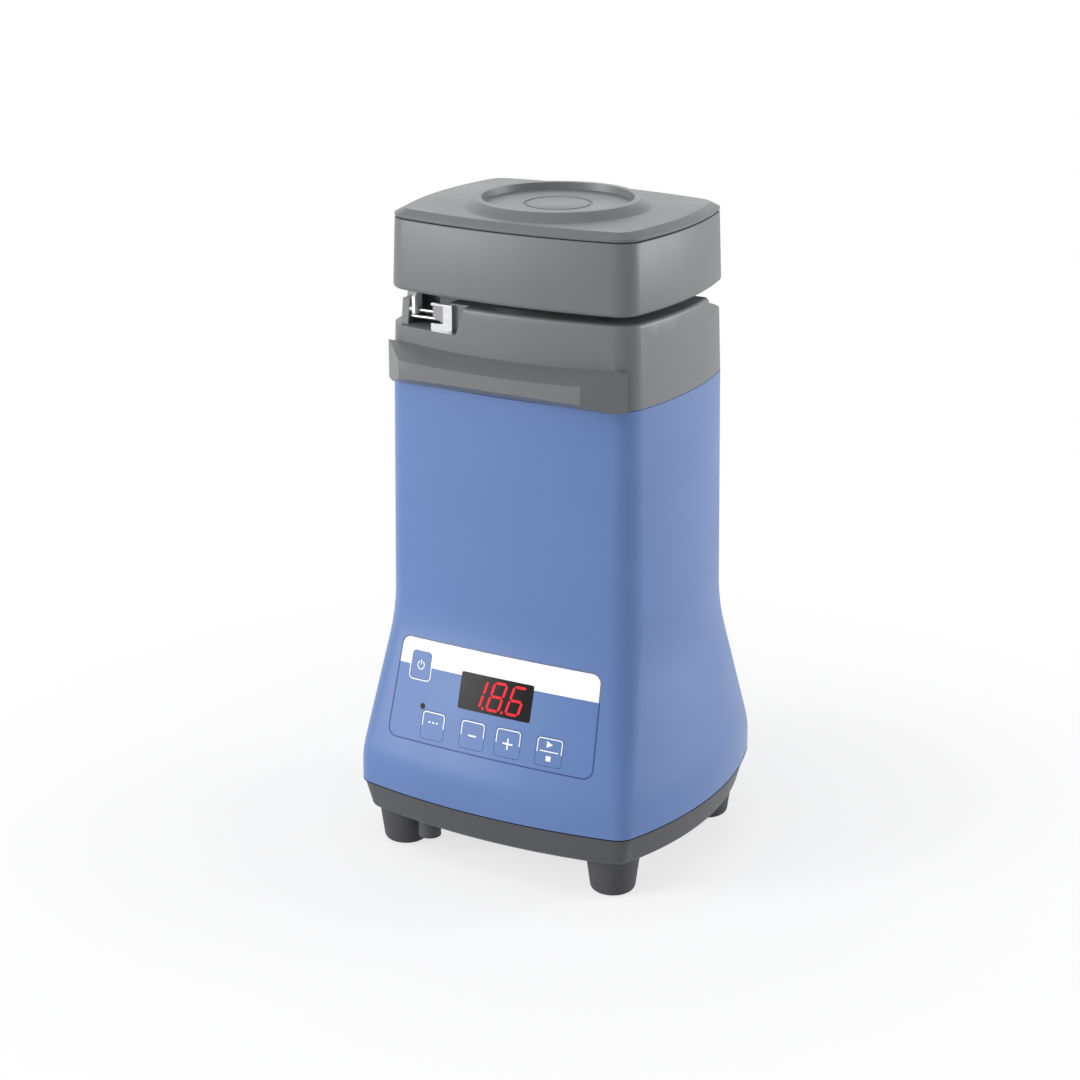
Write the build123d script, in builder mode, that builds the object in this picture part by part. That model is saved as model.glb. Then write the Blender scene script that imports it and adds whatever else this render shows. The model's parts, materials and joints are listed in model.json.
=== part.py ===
from build123d import *
import os
from math import atan2, cos, degrees, radians, sin

os.makedirs("parts", exist_ok=True)

# A bench-top analytical mill, in millimetres. The key panel faces -Y, +Z is up, and the
# origin is on the bench under the middle of the housing's foot.

# Heights, from the bench up
foot_height = 15.2
pan_height = 12.5
housing_height = 164.1
collar_height = 31.8
lid_gap = 3.0
skirt_height = 27.2
z_pan = foot_height
z_housing = z_pan + pan_height
z_collar = z_housing + housing_height
z_deck = z_collar + collar_height
z_lid = z_deck + lid_gap
z_cap = z_lid + skirt_height

# Plan of the housing: width and depth are at mid-side, where each side bulges most
foot_width = 140.0
foot_depth = 122.7
foot_front_bulge = 6.6
foot_side_bulge = 10.5
foot_corner = 8.7
neck_width = 114.7
neck_depth = 87.8
neck_bulge = 5.2
neck_corner = 11.0
housing_draft = 1.2
housing_wall = 2.6
knee_height = 11.9
knee_blend = 5.0
flare_height = 55.9
waist_blend = 10.0
least_corner = 1.0
z_knee = z_housing + knee_height
z_waist = z_knee + flare_height

# Fits shared by all pieces
fit_gap = 0.05
part_gap = 0.3
overrun = 2.0

# Base pan
pan_taper = 3.2
pan_wall = 3.0
pan_edge_round = 3.2
pan_seam_step = 0.5
pan_boss_radius = 5.6
pan_boss_height = 10.0
stud_step_x = 15.3
stud_step_y = 6.5
stud_radius = 4.5
stud_drop = 8.2
vent_length = 34.0
vent_width = 3.0
vent_pitch = 7.0
vent_count = 6

# Feet, and the studs that stand beside two of them
foot_inset_x = 22.5
foot_inset_y = 20.65
foot_x = foot_width / 2 - foot_inset_x
foot_y = foot_depth / 2 - foot_inset_y
stud_x = foot_x - stud_step_x
stud_y = foot_y + stud_step_y
foot_top_radius = 10.6
foot_tip_radius = 8.6
foot_round = 2.6

# Tie rods that clamp pan, housing and motor plate together
rod_x = 38.0
rod_y = 27.0
rod_radius = 2.0
rod_head_radius = 3.6
rod_head_height = 3.0
rod_head_sink = 1.5

# Collar
collar_draft = 1.0
collar_wall = 3.0
collar_ceiling = 18.2
collar_round = 1.6
hub_radius = 35.5
relief_y = 21.0
relief_slant = 4.0
relief_drop = 7.6
ledge_reach = 10.2
ledge_half = 39.0
ledge_chamfer = 12.8
ledge_crease = 13.4
ledge_rim = 10.4
ledge_lip = 4.9
ledge_bulge = 1.5
ledge_sag = 0.6
collar_screw_x = 47.0
collar_screw_y = 14.0
boss_radius = 4.0
screw_radius = 1.8
screw_head_radius = 3.2
screw_head_height = 2.6
screw_bite = 8.0

# Latch notch in the collar's front left corner
notch_drop = 10.8
notch_slant = 3.8
notch_right_x = -20.0
notch_shallow_y = -38.4
notch_middle_x = -25.0
notch_middle_y = -30.0
notch_deep_x = -34.4
notch_rear_y = -24.0

# Latch: hook strip, bracket and pins
latch_y = -34.0
pivot_drop = 5.3
stop_drop = 7.95
pin_radius = 0.75
pin_right_x = -22.0
hook_thickness = 1.4
hook_left_x = -43.0
hook_depth = 5.0
hook_foot = 1.25
hook_throat = 7.0
hook_arm_depth = 3.2
hook_nose_rise = 15.3
hook_nose_height = 2.5
hook_nose_reach = 1.5
ear_left_x = -48.0
ear_thickness = 3.0
ear_back_y = -22.0
ear_lean = 1.4
ear_front = 1.6
ear_top_drop = 1.2
bracket_left_x = -32.3
bracket_width = 9.3
bracket_height = 10.4
bracket_front_y = -40.2
bracket_thickness = 1.2
window_height = 6.8
window_width = 5.4
window_sill = 2.7
spring_wire = 0.4
spring_pitch = 0.6
spring_turns = 2
spring_mean_radius = 1.35

# Lid
lid_width = 111.5
lid_depth = 87.2
lid_bulge = 5.2
lid_corner = 9.7
lid_draft = 0.9
lid_wall = 2.6
lid_rim_round = 1.6
seam_chamfer = 0.5
web_rise = 2.1
web_thickness = 2.5
slot_left_x = -44.7
slot_right_x = -39.9
slot_front_y = -37.3
slot_rear_y = -27.5
keeper_thickness = 1.2
keeper_width = 5.0
keeper_depth = 1.1
lid_screw_x = 44.0
lid_screw_y = 18.0
lid_boss_radius = 3.6
cap_lip = 1.4
cap_slope_rise = 1.9
cap_inset = 3.2
cap_rise = 2.9
cap_thickness = 3.0
cap_rim_width = 2.0
cap_rim_drop = 4.0
pad_flank_radius = 36.5
pad_crest_radius = 31.6
pad_rim_radius = 29.1
pad_rim_round = 0.8
pad_floor_drop = 2.6
ring_radius = 12.6
ring_width = 0.7
ring_depth = 0.5

# Lid hinge
hinge_y = 37.9
hinge_rise = 1.4
hinge_pin_radius = 1.5
ear_radius = 3.0
hinge_ear_x = 14.0
hinge_ear_width = 4.0
hinge_lug_width = 4.5

# Bowl and its seals
bowl_radius = 26.0
bowl_wall = 1.2
bowl_floor = 2.0
bowl_round = 6.0
bowl_flange_radius = 33.0
bowl_flange = 1.2
bowl_hub_radius = 11.0
bowl_hub_height = 3.0
gasket_thickness = 0.8
lid_seal_width = 4.2
liner_radius = 34.0
liner_thickness = 1.2
liner_dish_radius = 22.0
liner_dish_depth = 2.0
shaft_seal_radius = 8.0
shaft_seal_inset = 0.5

# Motor plate
plate_drop = 7.8
plate_thickness = 6.0
plate_boss_radius = 16.0
plate_boss_drop = 8.0
post_x = 50.0
post_y = 24.0
post_height = 22.0
z_plate_top = z_collar - plate_drop
z_plate = z_plate_top - plate_thickness

# Rotor
shaft_radius = 5.0
shaft_tip_radius = 3.0
shaft_length = 133.0
shaft_below = 3.0
bearing_radius = 11.0
bearing_height = 7.0
bearing_race = 2.2
bearing_groove = 0.8
fan_top_gap = 2.5
fan_height = 8.0
fan_radius = 27.0
fan_hub_radius = 10.5
fan_disc = 1.6
fan_blade = 1.4
fan_blades = 9
fan_blade_length = 18.4
fan_blade_middle = 18.0
fan_blade_lean = 15
core_radius = 19.0
core_height = 40.0
core_drop = 30.0
core_slots = 12
core_slot_width = 3.0
core_slot_depth = 6.5
winding_gap = 0.15
winding_overhang = 8.0
winding_outer = 15.6
winding_inner = 7.0
winding_round = 2.0
comm_radius = 10.5
comm_height = 14.0
comm_drop = 12.0
comm_bars = 24
comm_slot_width = 0.6
comm_slot_depth = 1.0
lower_bearing_drop = 8.0

# Stator, coils, lower bracket and brushes
stator_size = 64.0
stator_corner = 8.0
air_gap = 0.5
coil_slot_x = 16.5
coil_slot_width = 8.0
coil_slot_y = 14.0
coil_slot_height = 8.0
coil_gap = 0.4
coil_overhang = 7.4
coil_round = 2.0
bracket_arm_width = 12.0
bracket_hub_radius = 15.0
bracket_wall = 3.0
bolt_offset = 27.0
bolt_radius = 2.0
bolt_end_gap = 1.0
bolt_head_radius = 3.4
bolt_head_height = 2.5
spacer_radius = 3.2
brush_width = 6.0
brush_height = 9.0
brush_length = 15.0
holder_wall = 1.5
holder_length = 18.0
holder_start = 3.0
holder_foot = 8.0

# Blade
blade_rise = 5.0
blade_thickness = 2.0
blade_radius = 22.5
blade_width = 11.0
blade_hub_radius = 7.0
blade_bevel = 1.4
blade_sweep = 4.0
nut_size = 10.0
nut_height = 5.0
nut_gap = 0.1

# Key panel, on the slanted front; t is measured up the slope from the panel's centre
panel_rise = 42.9
panel_centre_x = -0.6
panel_height = 40.7
panel_top_width = 89.0
panel_bottom_width = 92.5
panel_corner = 4.0
panel_thickness = 1.2
panel_gap = 0.15
key_gap = 0.15
key_width = 11.0
key_corner = 1.4
key_back = 3.9
key_hole_depth = 6.2
key_xs = (-25.2, -6.6, 9.3, 27.0)
key_t = -12.7
power_x = -34.7
power_t = 9.7
power_width = 9.3
power_height = 10.8
display_x = 1.2
display_t = 3.9
display_width = 32.2
display_height = 14.5
display_corner = 0.8
window_ledge = 1.0
module_inset = 1.6
module_face_depth = 3.0
indicator_x = -31.2
indicator_t = -6.0
indicator_radius = 1.15
board_depth = 9.6
board_thickness = 1.6
board_width = 84.0
board_height = 34.0
switch_size = 6.0
switch_height = 3.6
plunger_radius = 1.6
plunger_height = 1.5
standoff_radius = 2.4
standoff_x = 39.6
standoff_t = 14.6
small_screw_radius = 1.1
small_head_radius = 2.0
small_head_height = 1.4
board_screw_bite = 3.6

# Mains board on the pan
mains_board_width = 70.0
mains_board_depth = 78.0
mains_board_rise = 16.0
mains_post_inset = 5.0
mains_post_x = mains_board_width / 2 - mains_post_inset
mains_post_y = mains_board_depth / 2 - mains_post_inset
mains_post_radius = 3.2
cap_can_radius = 9.0
cap_can_height = 20.0
cap_can_x = -18.0
cap_can_y = 5.0
choke_size = 18.0
choke_height = 14.0
choke_x = 14.0
choke_y = 8.0
relay_width = 15.0
relay_depth = 12.0
relay_height = 12.0
relay_y = -20.0

# Mains inlet, on the slanted rear
inlet_rise = 32.0
inlet_flange_width = 50.0
inlet_flange_height = 22.5
inlet_flange_corner = 4.0
inlet_flange = 2.5
inlet_seat = 1.3
inlet_body_width = 27.0
inlet_body_height = 19.5
inlet_body_depth = 20.0
inlet_socket_width = 24.0
inlet_socket_height = 16.4
inlet_socket_depth = 16.0
inlet_socket_corner = 3.0
inlet_screw_pitch = 40.0
contact_width = 2.0
contact_height = 4.0
contact_length = 26.0
contact_pitch = 14.0
contact_drop = 2.0
contact_inset = 2.5
earth_lift = 4.0

# Reed switch in the collar and magnet in the lid
reed_x = 38.0
reed_y = -26.0
reed_length = 14.0
reed_width = 5.0
reed_height = 4.4
magnet_radius = 3.0


def save(piece, name):
    """Label a finished piece and write it."""
    piece.part.label = name
    export_step(piece.part, f"parts/{name}.step")


def mix(start, end, share):
    return start + (end - start) * share


def plan(z, outline, inset=0):
    """Plan outline at height z: four bulged sides and rounded corners, moved in by inset."""
    width, depth, front_bulge, side_bulge, corner = outline
    half_width = width / 2 - inset
    half_depth = depth / 2 - inset
    x = half_width - side_bulge
    y = half_depth - front_bulge
    with BuildSketch(Plane.XY.offset(z)) as sketch:
        with BuildLine():
            ThreePointArc((-x, -y), (0, -half_depth), (x, -y))
            ThreePointArc((x, -y), (half_width, 0), (x, y))
            ThreePointArc((x, y), (0, half_depth), (-x, y))
            ThreePointArc((-x, y), (-half_width, 0), (-x, -y))
        make_face()
        fillet(sketch.vertices(), max(corner - inset, least_corner))
    return sketch.sketch


def grown(outline, amount):
    """The same outline with each side moved out by amount."""
    width, depth, front_bulge, side_bulge, corner = outline
    return (width + 2 * amount, depth + 2 * amount, front_bulge, side_bulge, corner + amount)


foot_outline = (foot_width, foot_depth, foot_front_bulge, foot_side_bulge, foot_corner)
neck_outline = (neck_width, neck_depth, neck_bulge, neck_bulge, neck_corner)
waist_outline = grown(neck_outline, housing_draft)
collar_top_outline = grown(neck_outline, -collar_draft)
lid_outline = (lid_width, lid_depth, lid_bulge, lid_bulge, lid_corner)
lid_rim_outline = grown(lid_outline, lid_draft)


def flare_share(z):
    """Share of the way from waist to foot at height z, straight with a round blend at each end."""
    below_waist = z_waist + waist_blend - z
    above_knee = z - (z_knee - knee_blend)
    if below_waist <= 0:
        return 0
    if above_knee <= 0:
        return 1
    if below_waist < 2 * waist_blend:
        return below_waist ** 2 / (4 * waist_blend * flare_height)
    if above_knee < 2 * knee_blend:
        return 1 - above_knee ** 2 / (4 * knee_blend * flare_height)
    return (z_waist - z) / flare_height


def housing_outline(z):
    """The housing's plan outline at height z."""
    draft_share = min((z_collar - z) / (z_collar - z_waist), 1)
    straight = [mix(a, b, draft_share) for a, b in zip(neck_outline, waist_outline)]
    return [mix(a, b, flare_share(z)) for a, b in zip(straight, foot_outline)]


blend_steps = 4
knee_blend_heights = [z_knee + knee_blend * (2 * step / blend_steps - 1) for step in range(blend_steps + 1)]
waist_blend_heights = [z_waist + waist_blend * (2 * step / blend_steps - 1) for step in range(blend_steps + 1)]
housing_heights = [z_housing, *knee_blend_heights, *waist_blend_heights, z_collar]


def housing_solid(inset=0, mode=Mode.ADD):
    """The housing's outer form as one lofted solid, moved in by inset."""
    loft([plan(z, housing_outline(z), inset) for z in housing_heights], ruled=True, mode=mode)


# Angle of the flared front and rear from upright
slope = degrees(atan2((foot_depth - waist_outline[1]) / 2, flare_height))


def slope_plane(z, side):
    """Plane on the flared front (side -1) or rear (side 1) at height z, its normal outwards."""
    y = housing_outline(z)[1] / 2
    normal = (0, side * cos(radians(slope)), sin(radians(slope)))
    return Plane(origin=(0, side * y, z), x_dir=(-side, 0, 0), z_dir=normal)


panel_plane = slope_plane(z_housing + panel_rise, -1)
inlet_plane = slope_plane(z_housing + inlet_rise, 1)


def four(x, y):
    """The four places at plus and minus x and y."""
    return [(x, y), (-x, y), (-x, -y), (x, -y)]


def panel_face(gap=0):
    """The panel's outline on its plane: a rounded trapezoid, grown by gap."""
    top = panel_top_width / 2 + gap
    bottom = panel_bottom_width / 2 + gap
    half = panel_height / 2 + gap
    with BuildSketch(panel_plane) as face:
        with BuildLine():
            Polyline((panel_centre_x - bottom, -half), (panel_centre_x + bottom, -half),
                     (panel_centre_x + top, half), (panel_centre_x - top, half), close=True)
        make_face()
        fillet(face.vertices(), panel_corner + gap)
    return face.sketch


key_places = {"key_power": (power_x, power_t, power_width, power_height)}
for key_name, key_x in zip(("key_interval", "key_minus", "key_plus", "key_start"), key_xs):
    key_places[key_name] = (key_x, key_t, key_width, key_width)


def key_face(place, gap=0):
    """A key's rounded outline on the panel's plane, grown by gap."""
    x, t, width, height = place
    with BuildSketch(panel_plane) as face:
        with Locations((x, t)):
            RectangleRounded(width + 2 * gap, height + 2 * gap, key_corner + gap)
    return face.sketch


def display_face(gap=0):
    """The display window's outline on the panel's plane, grown by gap."""
    with BuildSketch(panel_plane) as face:
        with Locations((display_x, display_t)):
            RectangleRounded(display_width + 2 * gap, display_height + 2 * gap,
                             display_corner + max(gap, 0))
    return face.sketch


# Base pan: a tapered tray with a rounded foot, screw bosses and vent slots in its floor
z_pan_floor = z_pan + pan_wall
with BuildPart() as base_pan:
    loft([plan(z_pan, grown(foot_outline, -pan_taper)),
          plan(z_housing, grown(foot_outline, -pan_seam_step))], ruled=True)
    fillet(base_pan.edges().group_by(Axis.Z)[0], pan_edge_round)
    loft([plan(z_pan_floor, grown(foot_outline, -pan_taper), pan_wall),
          plan(z_housing, grown(foot_outline, -pan_seam_step), pan_wall)],
         ruled=True, mode=Mode.SUBTRACT)
    with BuildSketch(Plane.XY.offset(z_pan)):
        with Locations((-stud_x, -stud_y), (stud_x, stud_y)):
            Circle(stud_radius)
    extrude(amount=-stud_drop)
    with BuildSketch(Plane.XY.offset(z_pan)):
        with Locations(*four(rod_x, rod_y)):
            Circle(pan_boss_radius)
    extrude(amount=pan_boss_height)
    with BuildSketch(Plane.XY.offset(z_pan)):
        with Locations(*four(mains_post_x, mains_post_y)):
            Circle(mains_post_radius)
    extrude(amount=mains_board_rise)
    with BuildSketch(Plane.XY.offset(z_pan)):
        with Locations(*four(rod_x, rod_y)):
            Circle(rod_radius + fit_gap)
    extrude(amount=pan_boss_height, mode=Mode.SUBTRACT)
    with BuildSketch(Plane.XY.offset(z_pan)):
        with Locations(*four(rod_x, rod_y)):
            Circle(rod_head_radius + part_gap)
    extrude(amount=rod_head_height + rod_head_sink, mode=Mode.SUBTRACT)
    with BuildSketch(Plane.XY.offset(z_pan)):
        with GridLocations(0, vent_pitch, 1, vent_count):
            SlotOverall(vent_length, vent_width)
    extrude(amount=pan_wall, mode=Mode.SUBTRACT)
    with BuildSketch(Plane.XY.offset(z_pan + mains_board_rise)):
        with Locations(*four(mains_post_x, mains_post_y)):
            Circle(small_screw_radius)
    extrude(amount=-screw_bite, mode=Mode.SUBTRACT)
save(base_pan, "base_pan")

# Feet: tapered rubber buttons with a rounded tread
foot_names = ("foot_rear_right", "foot_rear_left", "foot_front_left", "foot_front_right")
for foot_name, (x, y) in zip(foot_names, four(foot_x, foot_y)):
    with BuildPart() as foot:
        with BuildSketch(Plane.XY):
            with Locations((x, y)):
                Circle(foot_tip_radius)
        with BuildSketch(Plane.XY.offset(z_pan)):
            with Locations((x, y)):
                Circle(foot_top_radius)
        loft(ruled=True)
        fillet(foot.edges().group_by(Axis.Z)[0], foot_round)
    save(foot, foot_name)

# Tie rods: from the pan's bosses up into the motor plate
z_rod_head = z_pan + rod_head_sink
with BuildPart() as tie_rods:
    with BuildSketch(Plane.XY.offset(z_rod_head)):
        with Locations(*four(rod_x, rod_y)):
            Circle(rod_head_radius)
    extrude(amount=rod_head_height)
    with BuildSketch(Plane.XY.offset(z_rod_head)):
        with Locations(*four(rod_x, rod_y)):
            Circle(rod_radius)
    extrude(amount=z_plate_top - z_rod_head)
    with BuildSketch(Plane.XY.offset(z_rod_head)):
        with Locations(*four(rod_x, rod_y)):
            RegularPolygon(rod_radius, 6)
    extrude(amount=rod_head_sink, mode=Mode.SUBTRACT)
save(tie_rods, "tie_rods")

# Housing: one flared moulding, open at neck and foot, recessed for the panel and the inlet
with BuildPart() as housing:
    housing_solid()
    housing_solid(housing_wall, Mode.SUBTRACT)
    with BuildSketch(Plane.XY.offset(z_plate)) as posts:
        with Locations(*four(post_x, post_y)):
            Circle(boss_radius)
    extrude(amount=-post_height)
    with BuildPart(mode=Mode.PRIVATE) as standoffs:
        with BuildSketch(panel_plane.offset(-board_depth)):
            with Locations(*four(standoff_x, standoff_t)):
                Circle(standoff_radius)
        extrude(amount=board_depth)
        housing_solid(housing_wall / 2, Mode.INTERSECT)
    add(standoffs.part)
    with BuildSketch(panel_plane.offset(-board_depth)):
        with Locations(*four(standoff_x, standoff_t)):
            Circle(small_screw_radius)
    extrude(amount=board_depth - 2 * housing_wall, mode=Mode.SUBTRACT)

    # The panel's recess, as deep as the panel is thick
    with BuildPart(mode=Mode.PRIVATE) as recess:
        extrude(panel_face(panel_gap), amount=board_depth, both=True)
        housing_solid(mode=Mode.INTERSECT)
        housing_solid(panel_thickness, Mode.SUBTRACT)
    add(recess.part, mode=Mode.SUBTRACT)

    for place in key_places.values():
        extrude(key_face(place, key_gap), amount=key_hole_depth, both=True, mode=Mode.SUBTRACT)
    extrude(display_face(-window_ledge), amount=key_hole_depth, both=True, mode=Mode.SUBTRACT)
    with BuildSketch(panel_plane):
        with Locations((indicator_x, indicator_t)):
            Circle(indicator_radius + panel_gap)
    extrude(amount=key_hole_depth, both=True, mode=Mode.SUBTRACT)
    with BuildSketch(inlet_plane.offset(-inlet_seat)):
        RectangleRounded(inlet_flange_width + 2 * part_gap, inlet_flange_height + 2 * part_gap,
                         inlet_flange_corner)
    extrude(amount=inlet_flange, mode=Mode.SUBTRACT)
    with BuildSketch(inlet_plane):
        Rectangle(inlet_body_width + 2 * part_gap, inlet_body_height + 2 * part_gap)
    extrude(amount=inlet_body_depth / 2, both=True, mode=Mode.SUBTRACT)
    with BuildSketch(inlet_plane):
        with Locations((-inlet_screw_pitch / 2, 0), (inlet_screw_pitch / 2, 0)):
            Circle(small_screw_radius + fit_gap)
    extrude(amount=inlet_body_depth / 2, both=True, mode=Mode.SUBTRACT)
save(housing, "housing")

# Motor plate: fills the housing's neck, carries the bowl above and the motor below
with BuildPart() as motor_plate:
    extrude(plan(z_plate, housing_outline(z_plate), housing_wall + part_gap), amount=plate_thickness)
    with BuildSketch(Plane.XY.offset(z_plate)):
        Circle(plate_boss_radius)
    extrude(amount=-plate_boss_drop)
    with BuildSketch(Plane.XY.offset(z_plate - plate_boss_drop)):
        Circle(bearing_radius + fit_gap)
    extrude(amount=bearing_height, mode=Mode.SUBTRACT)
    with BuildSketch(Plane.XY.offset(z_plate - plate_boss_drop)):
        Circle(shaft_radius + overrun)
    extrude(amount=plate_boss_drop + plate_thickness, mode=Mode.SUBTRACT)
    with BuildSketch(Plane.XY.offset(z_plate)):
        with Locations(*four(rod_x, rod_y)):
            Circle(rod_radius + fit_gap)
        with Locations(*four(collar_screw_x, collar_screw_y)):
            Circle(screw_radius + fit_gap)
        with Locations(*four(bolt_offset, bolt_offset)):
            Circle(bolt_radius + fit_gap)
    extrude(amount=plate_thickness, mode=Mode.SUBTRACT)
save(motor_plate, "motor_plate")

# Collar: the grey moulding round the bowl, with the ledge, the notch, the relief and the ears
z_ceiling = z_collar + collar_ceiling
z_relief = z_deck - relief_drop
z_notch = z_deck - notch_drop
z_hinge = z_deck + hinge_rise
z_pivot = z_deck - pivot_drop
z_stop = z_deck - stop_drop
half_depth = neck_depth / 2
half_width = neck_width / 2
ledge_front = half_depth + ledge_reach
ledge_inner = half_depth - 2 * collar_wall
with BuildPart() as collar:
    loft([plan(z_collar, neck_outline), plan(z_deck, collar_top_outline)], ruled=True)
    fillet(collar.edges().group_by(Axis.Z)[-1], collar_round)

    # Front ledge: its plan has cut-off ends, its section a dished top and a sloping underside
    with BuildPart(mode=Mode.PRIVATE) as ledge:
        with BuildSketch(Plane.XY.offset(z_collar)):
            with BuildLine():
                ThreePointArc((-ledge_half, ledge_bulge - ledge_front), (0, -ledge_front),
                              (ledge_half, ledge_bulge - ledge_front))
                Polyline((ledge_half, ledge_bulge - ledge_front),
                         (ledge_half + ledge_chamfer, ledge_bulge + ledge_chamfer - ledge_front),
                         (ledge_half, -ledge_inner), (-ledge_half, -ledge_inner),
                         (-ledge_half - ledge_chamfer, ledge_bulge + ledge_chamfer - ledge_front),
                         (-ledge_half, ledge_bulge - ledge_front))
            make_face()
        extrude(amount=collar_height)
        ledge_top_slope = (ledge_crease - ledge_rim) / ledge_reach
        ledge_back = half_depth - ledge_inner
        with BuildSketch(Plane.YZ.offset(-half_width)):
            with BuildLine():
                Polyline((-ledge_inner, z_collar + ledge_crease + ledge_back * ledge_top_slope),
                         (-ledge_inner, z_collar), (-half_depth, z_collar),
                         (-ledge_front, z_collar + ledge_lip), (-ledge_front, z_collar + ledge_rim))
                SagittaArc((-ledge_front, z_collar + ledge_rim),
                           (-ledge_inner, z_collar + ledge_crease + ledge_back * ledge_top_slope),
                           ledge_sag)
            make_face()
        extrude(amount=neck_width, mode=Mode.INTERSECT)
    add(ledge.part)

    loft([plan(z_collar, neck_outline, collar_wall), plan(z_ceiling, neck_outline, collar_wall)],
         ruled=True, mode=Mode.SUBTRACT)
    with BuildSketch(Plane.XY.offset(z_plate_top)):
        with Locations(*four(collar_screw_x, collar_screw_y)):
            Circle(boss_radius)
    extrude(amount=z_ceiling - z_plate_top)
    with BuildSketch(Plane.XY.offset(z_plate_top)):
        with Locations(*four(collar_screw_x, collar_screw_y)):
            Circle(screw_radius)
    extrude(amount=screw_bite, mode=Mode.SUBTRACT)
    with BuildSketch(Plane.XY.offset(z_collar)):
        Circle(bowl_radius + bowl_wall + part_gap)
    extrude(amount=collar_height, mode=Mode.SUBTRACT)

    # Rear relief: a step round the back, clear of the hub round the bowl
    with BuildPart(mode=Mode.PRIVATE) as relief:
        with BuildSketch(Plane.YZ.offset(-neck_width)):
            with BuildLine():
                Polyline((relief_y, z_relief), (neck_depth, z_relief),
                         (neck_depth, z_deck + overrun), (relief_y - relief_slant, z_deck + overrun),
                         close=True)
            make_face()
        extrude(amount=2 * neck_width)
        with BuildSketch(Plane.XY.offset(z_relief)):
            Circle(hub_radius)
        extrude(amount=collar_height, mode=Mode.SUBTRACT)
    add(relief.part, mode=Mode.SUBTRACT)

    # Latch notch: shallow behind the bracket, deep at the hook, with leaning end walls
    with BuildPart(mode=Mode.PRIVATE) as notch:
        left = -neck_width
        for right, rear in ((notch_right_x, notch_shallow_y), (notch_middle_x, notch_middle_y),
                            (notch_deep_x, notch_rear_y)):
            with BuildSketch(Plane.XY.offset(z_notch)):
                with BuildLine():
                    Polyline((left, -neck_depth), (right, -neck_depth), (right, rear), (left, rear),
                             close=True)
                make_face()
            lean = notch_slant * (notch_drop + overrun) / notch_drop
            right_lean = lean if right == notch_right_x else 0
            rear_lean = lean if rear == notch_rear_y else 0
            with BuildSketch(Plane.XY.offset(z_deck + overrun)):
                with BuildLine():
                    Polyline((left, -neck_depth), (right + right_lean, -neck_depth),
                             (right + right_lean, rear + rear_lean), (left, rear + rear_lean),
                             close=True)
                make_face()
            loft(ruled=True)
    add(notch.part, mode=Mode.SUBTRACT)

    # Ear at the notch's left end, which holds both latch pins
    ear_front_y = latch_y - ear_front - pin_radius
    z_ear_top = z_deck - ear_top_drop
    with BuildSketch(Plane.YZ.offset(ear_left_x)):
        with BuildLine():
            Polyline((ear_front_y, z_notch), (ear_back_y, z_notch), (ear_back_y, z_ear_top),
                     (ear_front_y + ear_lean, z_ear_top), close=True)
        make_face()
    extrude(amount=ear_thickness)
    with BuildSketch(Plane.YZ.offset(ear_left_x)):
        with Locations((latch_y, z_pivot), (latch_y, z_stop)):
            Circle(pin_radius)
    extrude(amount=pin_right_x - ear_left_x, mode=Mode.SUBTRACT)

    # Hinge ears behind the hub, half round about the pin
    for side in (-1, 1):
        with BuildSketch(Plane.YZ.offset(side * (hinge_ear_x + hinge_ear_width / 2) - hinge_ear_width / 2)):
            with Locations((hinge_y, z_hinge)):
                Circle(ear_radius)
            with BuildLine():
                Polyline((hinge_y, z_relief), (hinge_y - 2 * ear_radius, z_relief),
                         (hinge_y - ear_radius, z_hinge), (hinge_y, z_hinge), close=True)
            make_face()
        extrude(amount=hinge_ear_width)
    with BuildSketch(Plane.YZ.offset(-hinge_ear_x - hinge_ear_width)):
        with Locations((hinge_y, z_hinge)):
            Circle(hinge_pin_radius)
    extrude(amount=2 * (hinge_ear_x + hinge_ear_width), mode=Mode.SUBTRACT)

    # Pocket for the reed switch, open below
    with BuildSketch(Plane.XY.offset(z_ceiling)):
        with Locations((reed_x, reed_y)):
            Rectangle(reed_length + 2 * panel_gap, reed_width + 2 * panel_gap)
    extrude(amount=reed_height, mode=Mode.SUBTRACT)
save(collar, "collar")

with BuildPart() as collar_screws:
    with BuildSketch(Plane.XY.offset(z_plate)):
        with Locations(*four(collar_screw_x, collar_screw_y)):
            Circle(screw_head_radius)
    extrude(amount=-screw_head_height)
    with BuildSketch(Plane.XY.offset(z_plate)):
        with Locations(*four(collar_screw_x, collar_screw_y)):
            Circle(screw_radius)
    extrude(amount=plate_thickness + screw_bite)
save(collar_screws, "collar_screws")

with BuildPart() as lid_switch:
    with BuildSketch(Plane.XY.offset(z_ceiling)):
        with Locations((reed_x, reed_y)):
            Rectangle(reed_length, reed_width)
    extrude(amount=reed_height)
save(lid_switch, "lid_switch")

# Bowl: a drawn stainless cup with a flange on top and a raised hub round the shaft
z_bowl_flange = z_deck + gasket_thickness
z_bowl_top = z_bowl_flange + bowl_flange
z_bowl_inside = z_plate_top + bowl_floor
with BuildPart() as milling_bowl:
    with BuildSketch(Plane.XZ):
        with BuildLine():
            Polyline((shaft_seal_radius, z_plate_top), (bowl_radius + bowl_wall, z_plate_top),
                     (bowl_radius + bowl_wall, z_bowl_flange), (bowl_flange_radius, z_bowl_flange),
                     (bowl_flange_radius, z_bowl_top), (bowl_radius, z_bowl_top),
                     (bowl_radius, z_bowl_inside + bowl_round))
            RadiusArc((bowl_radius, z_bowl_inside + bowl_round),
                      (bowl_radius - bowl_round, z_bowl_inside), bowl_round)
            Polyline((bowl_radius - bowl_round, z_bowl_inside), (bowl_hub_radius, z_bowl_inside),
                     (bowl_hub_radius, z_bowl_inside + bowl_hub_height),
                     (shaft_seal_radius, z_bowl_inside + bowl_hub_height),
                     (shaft_seal_radius, z_plate_top))
        make_face()
    revolve(axis=Axis.Z)
save(milling_bowl, "milling_bowl")

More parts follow.
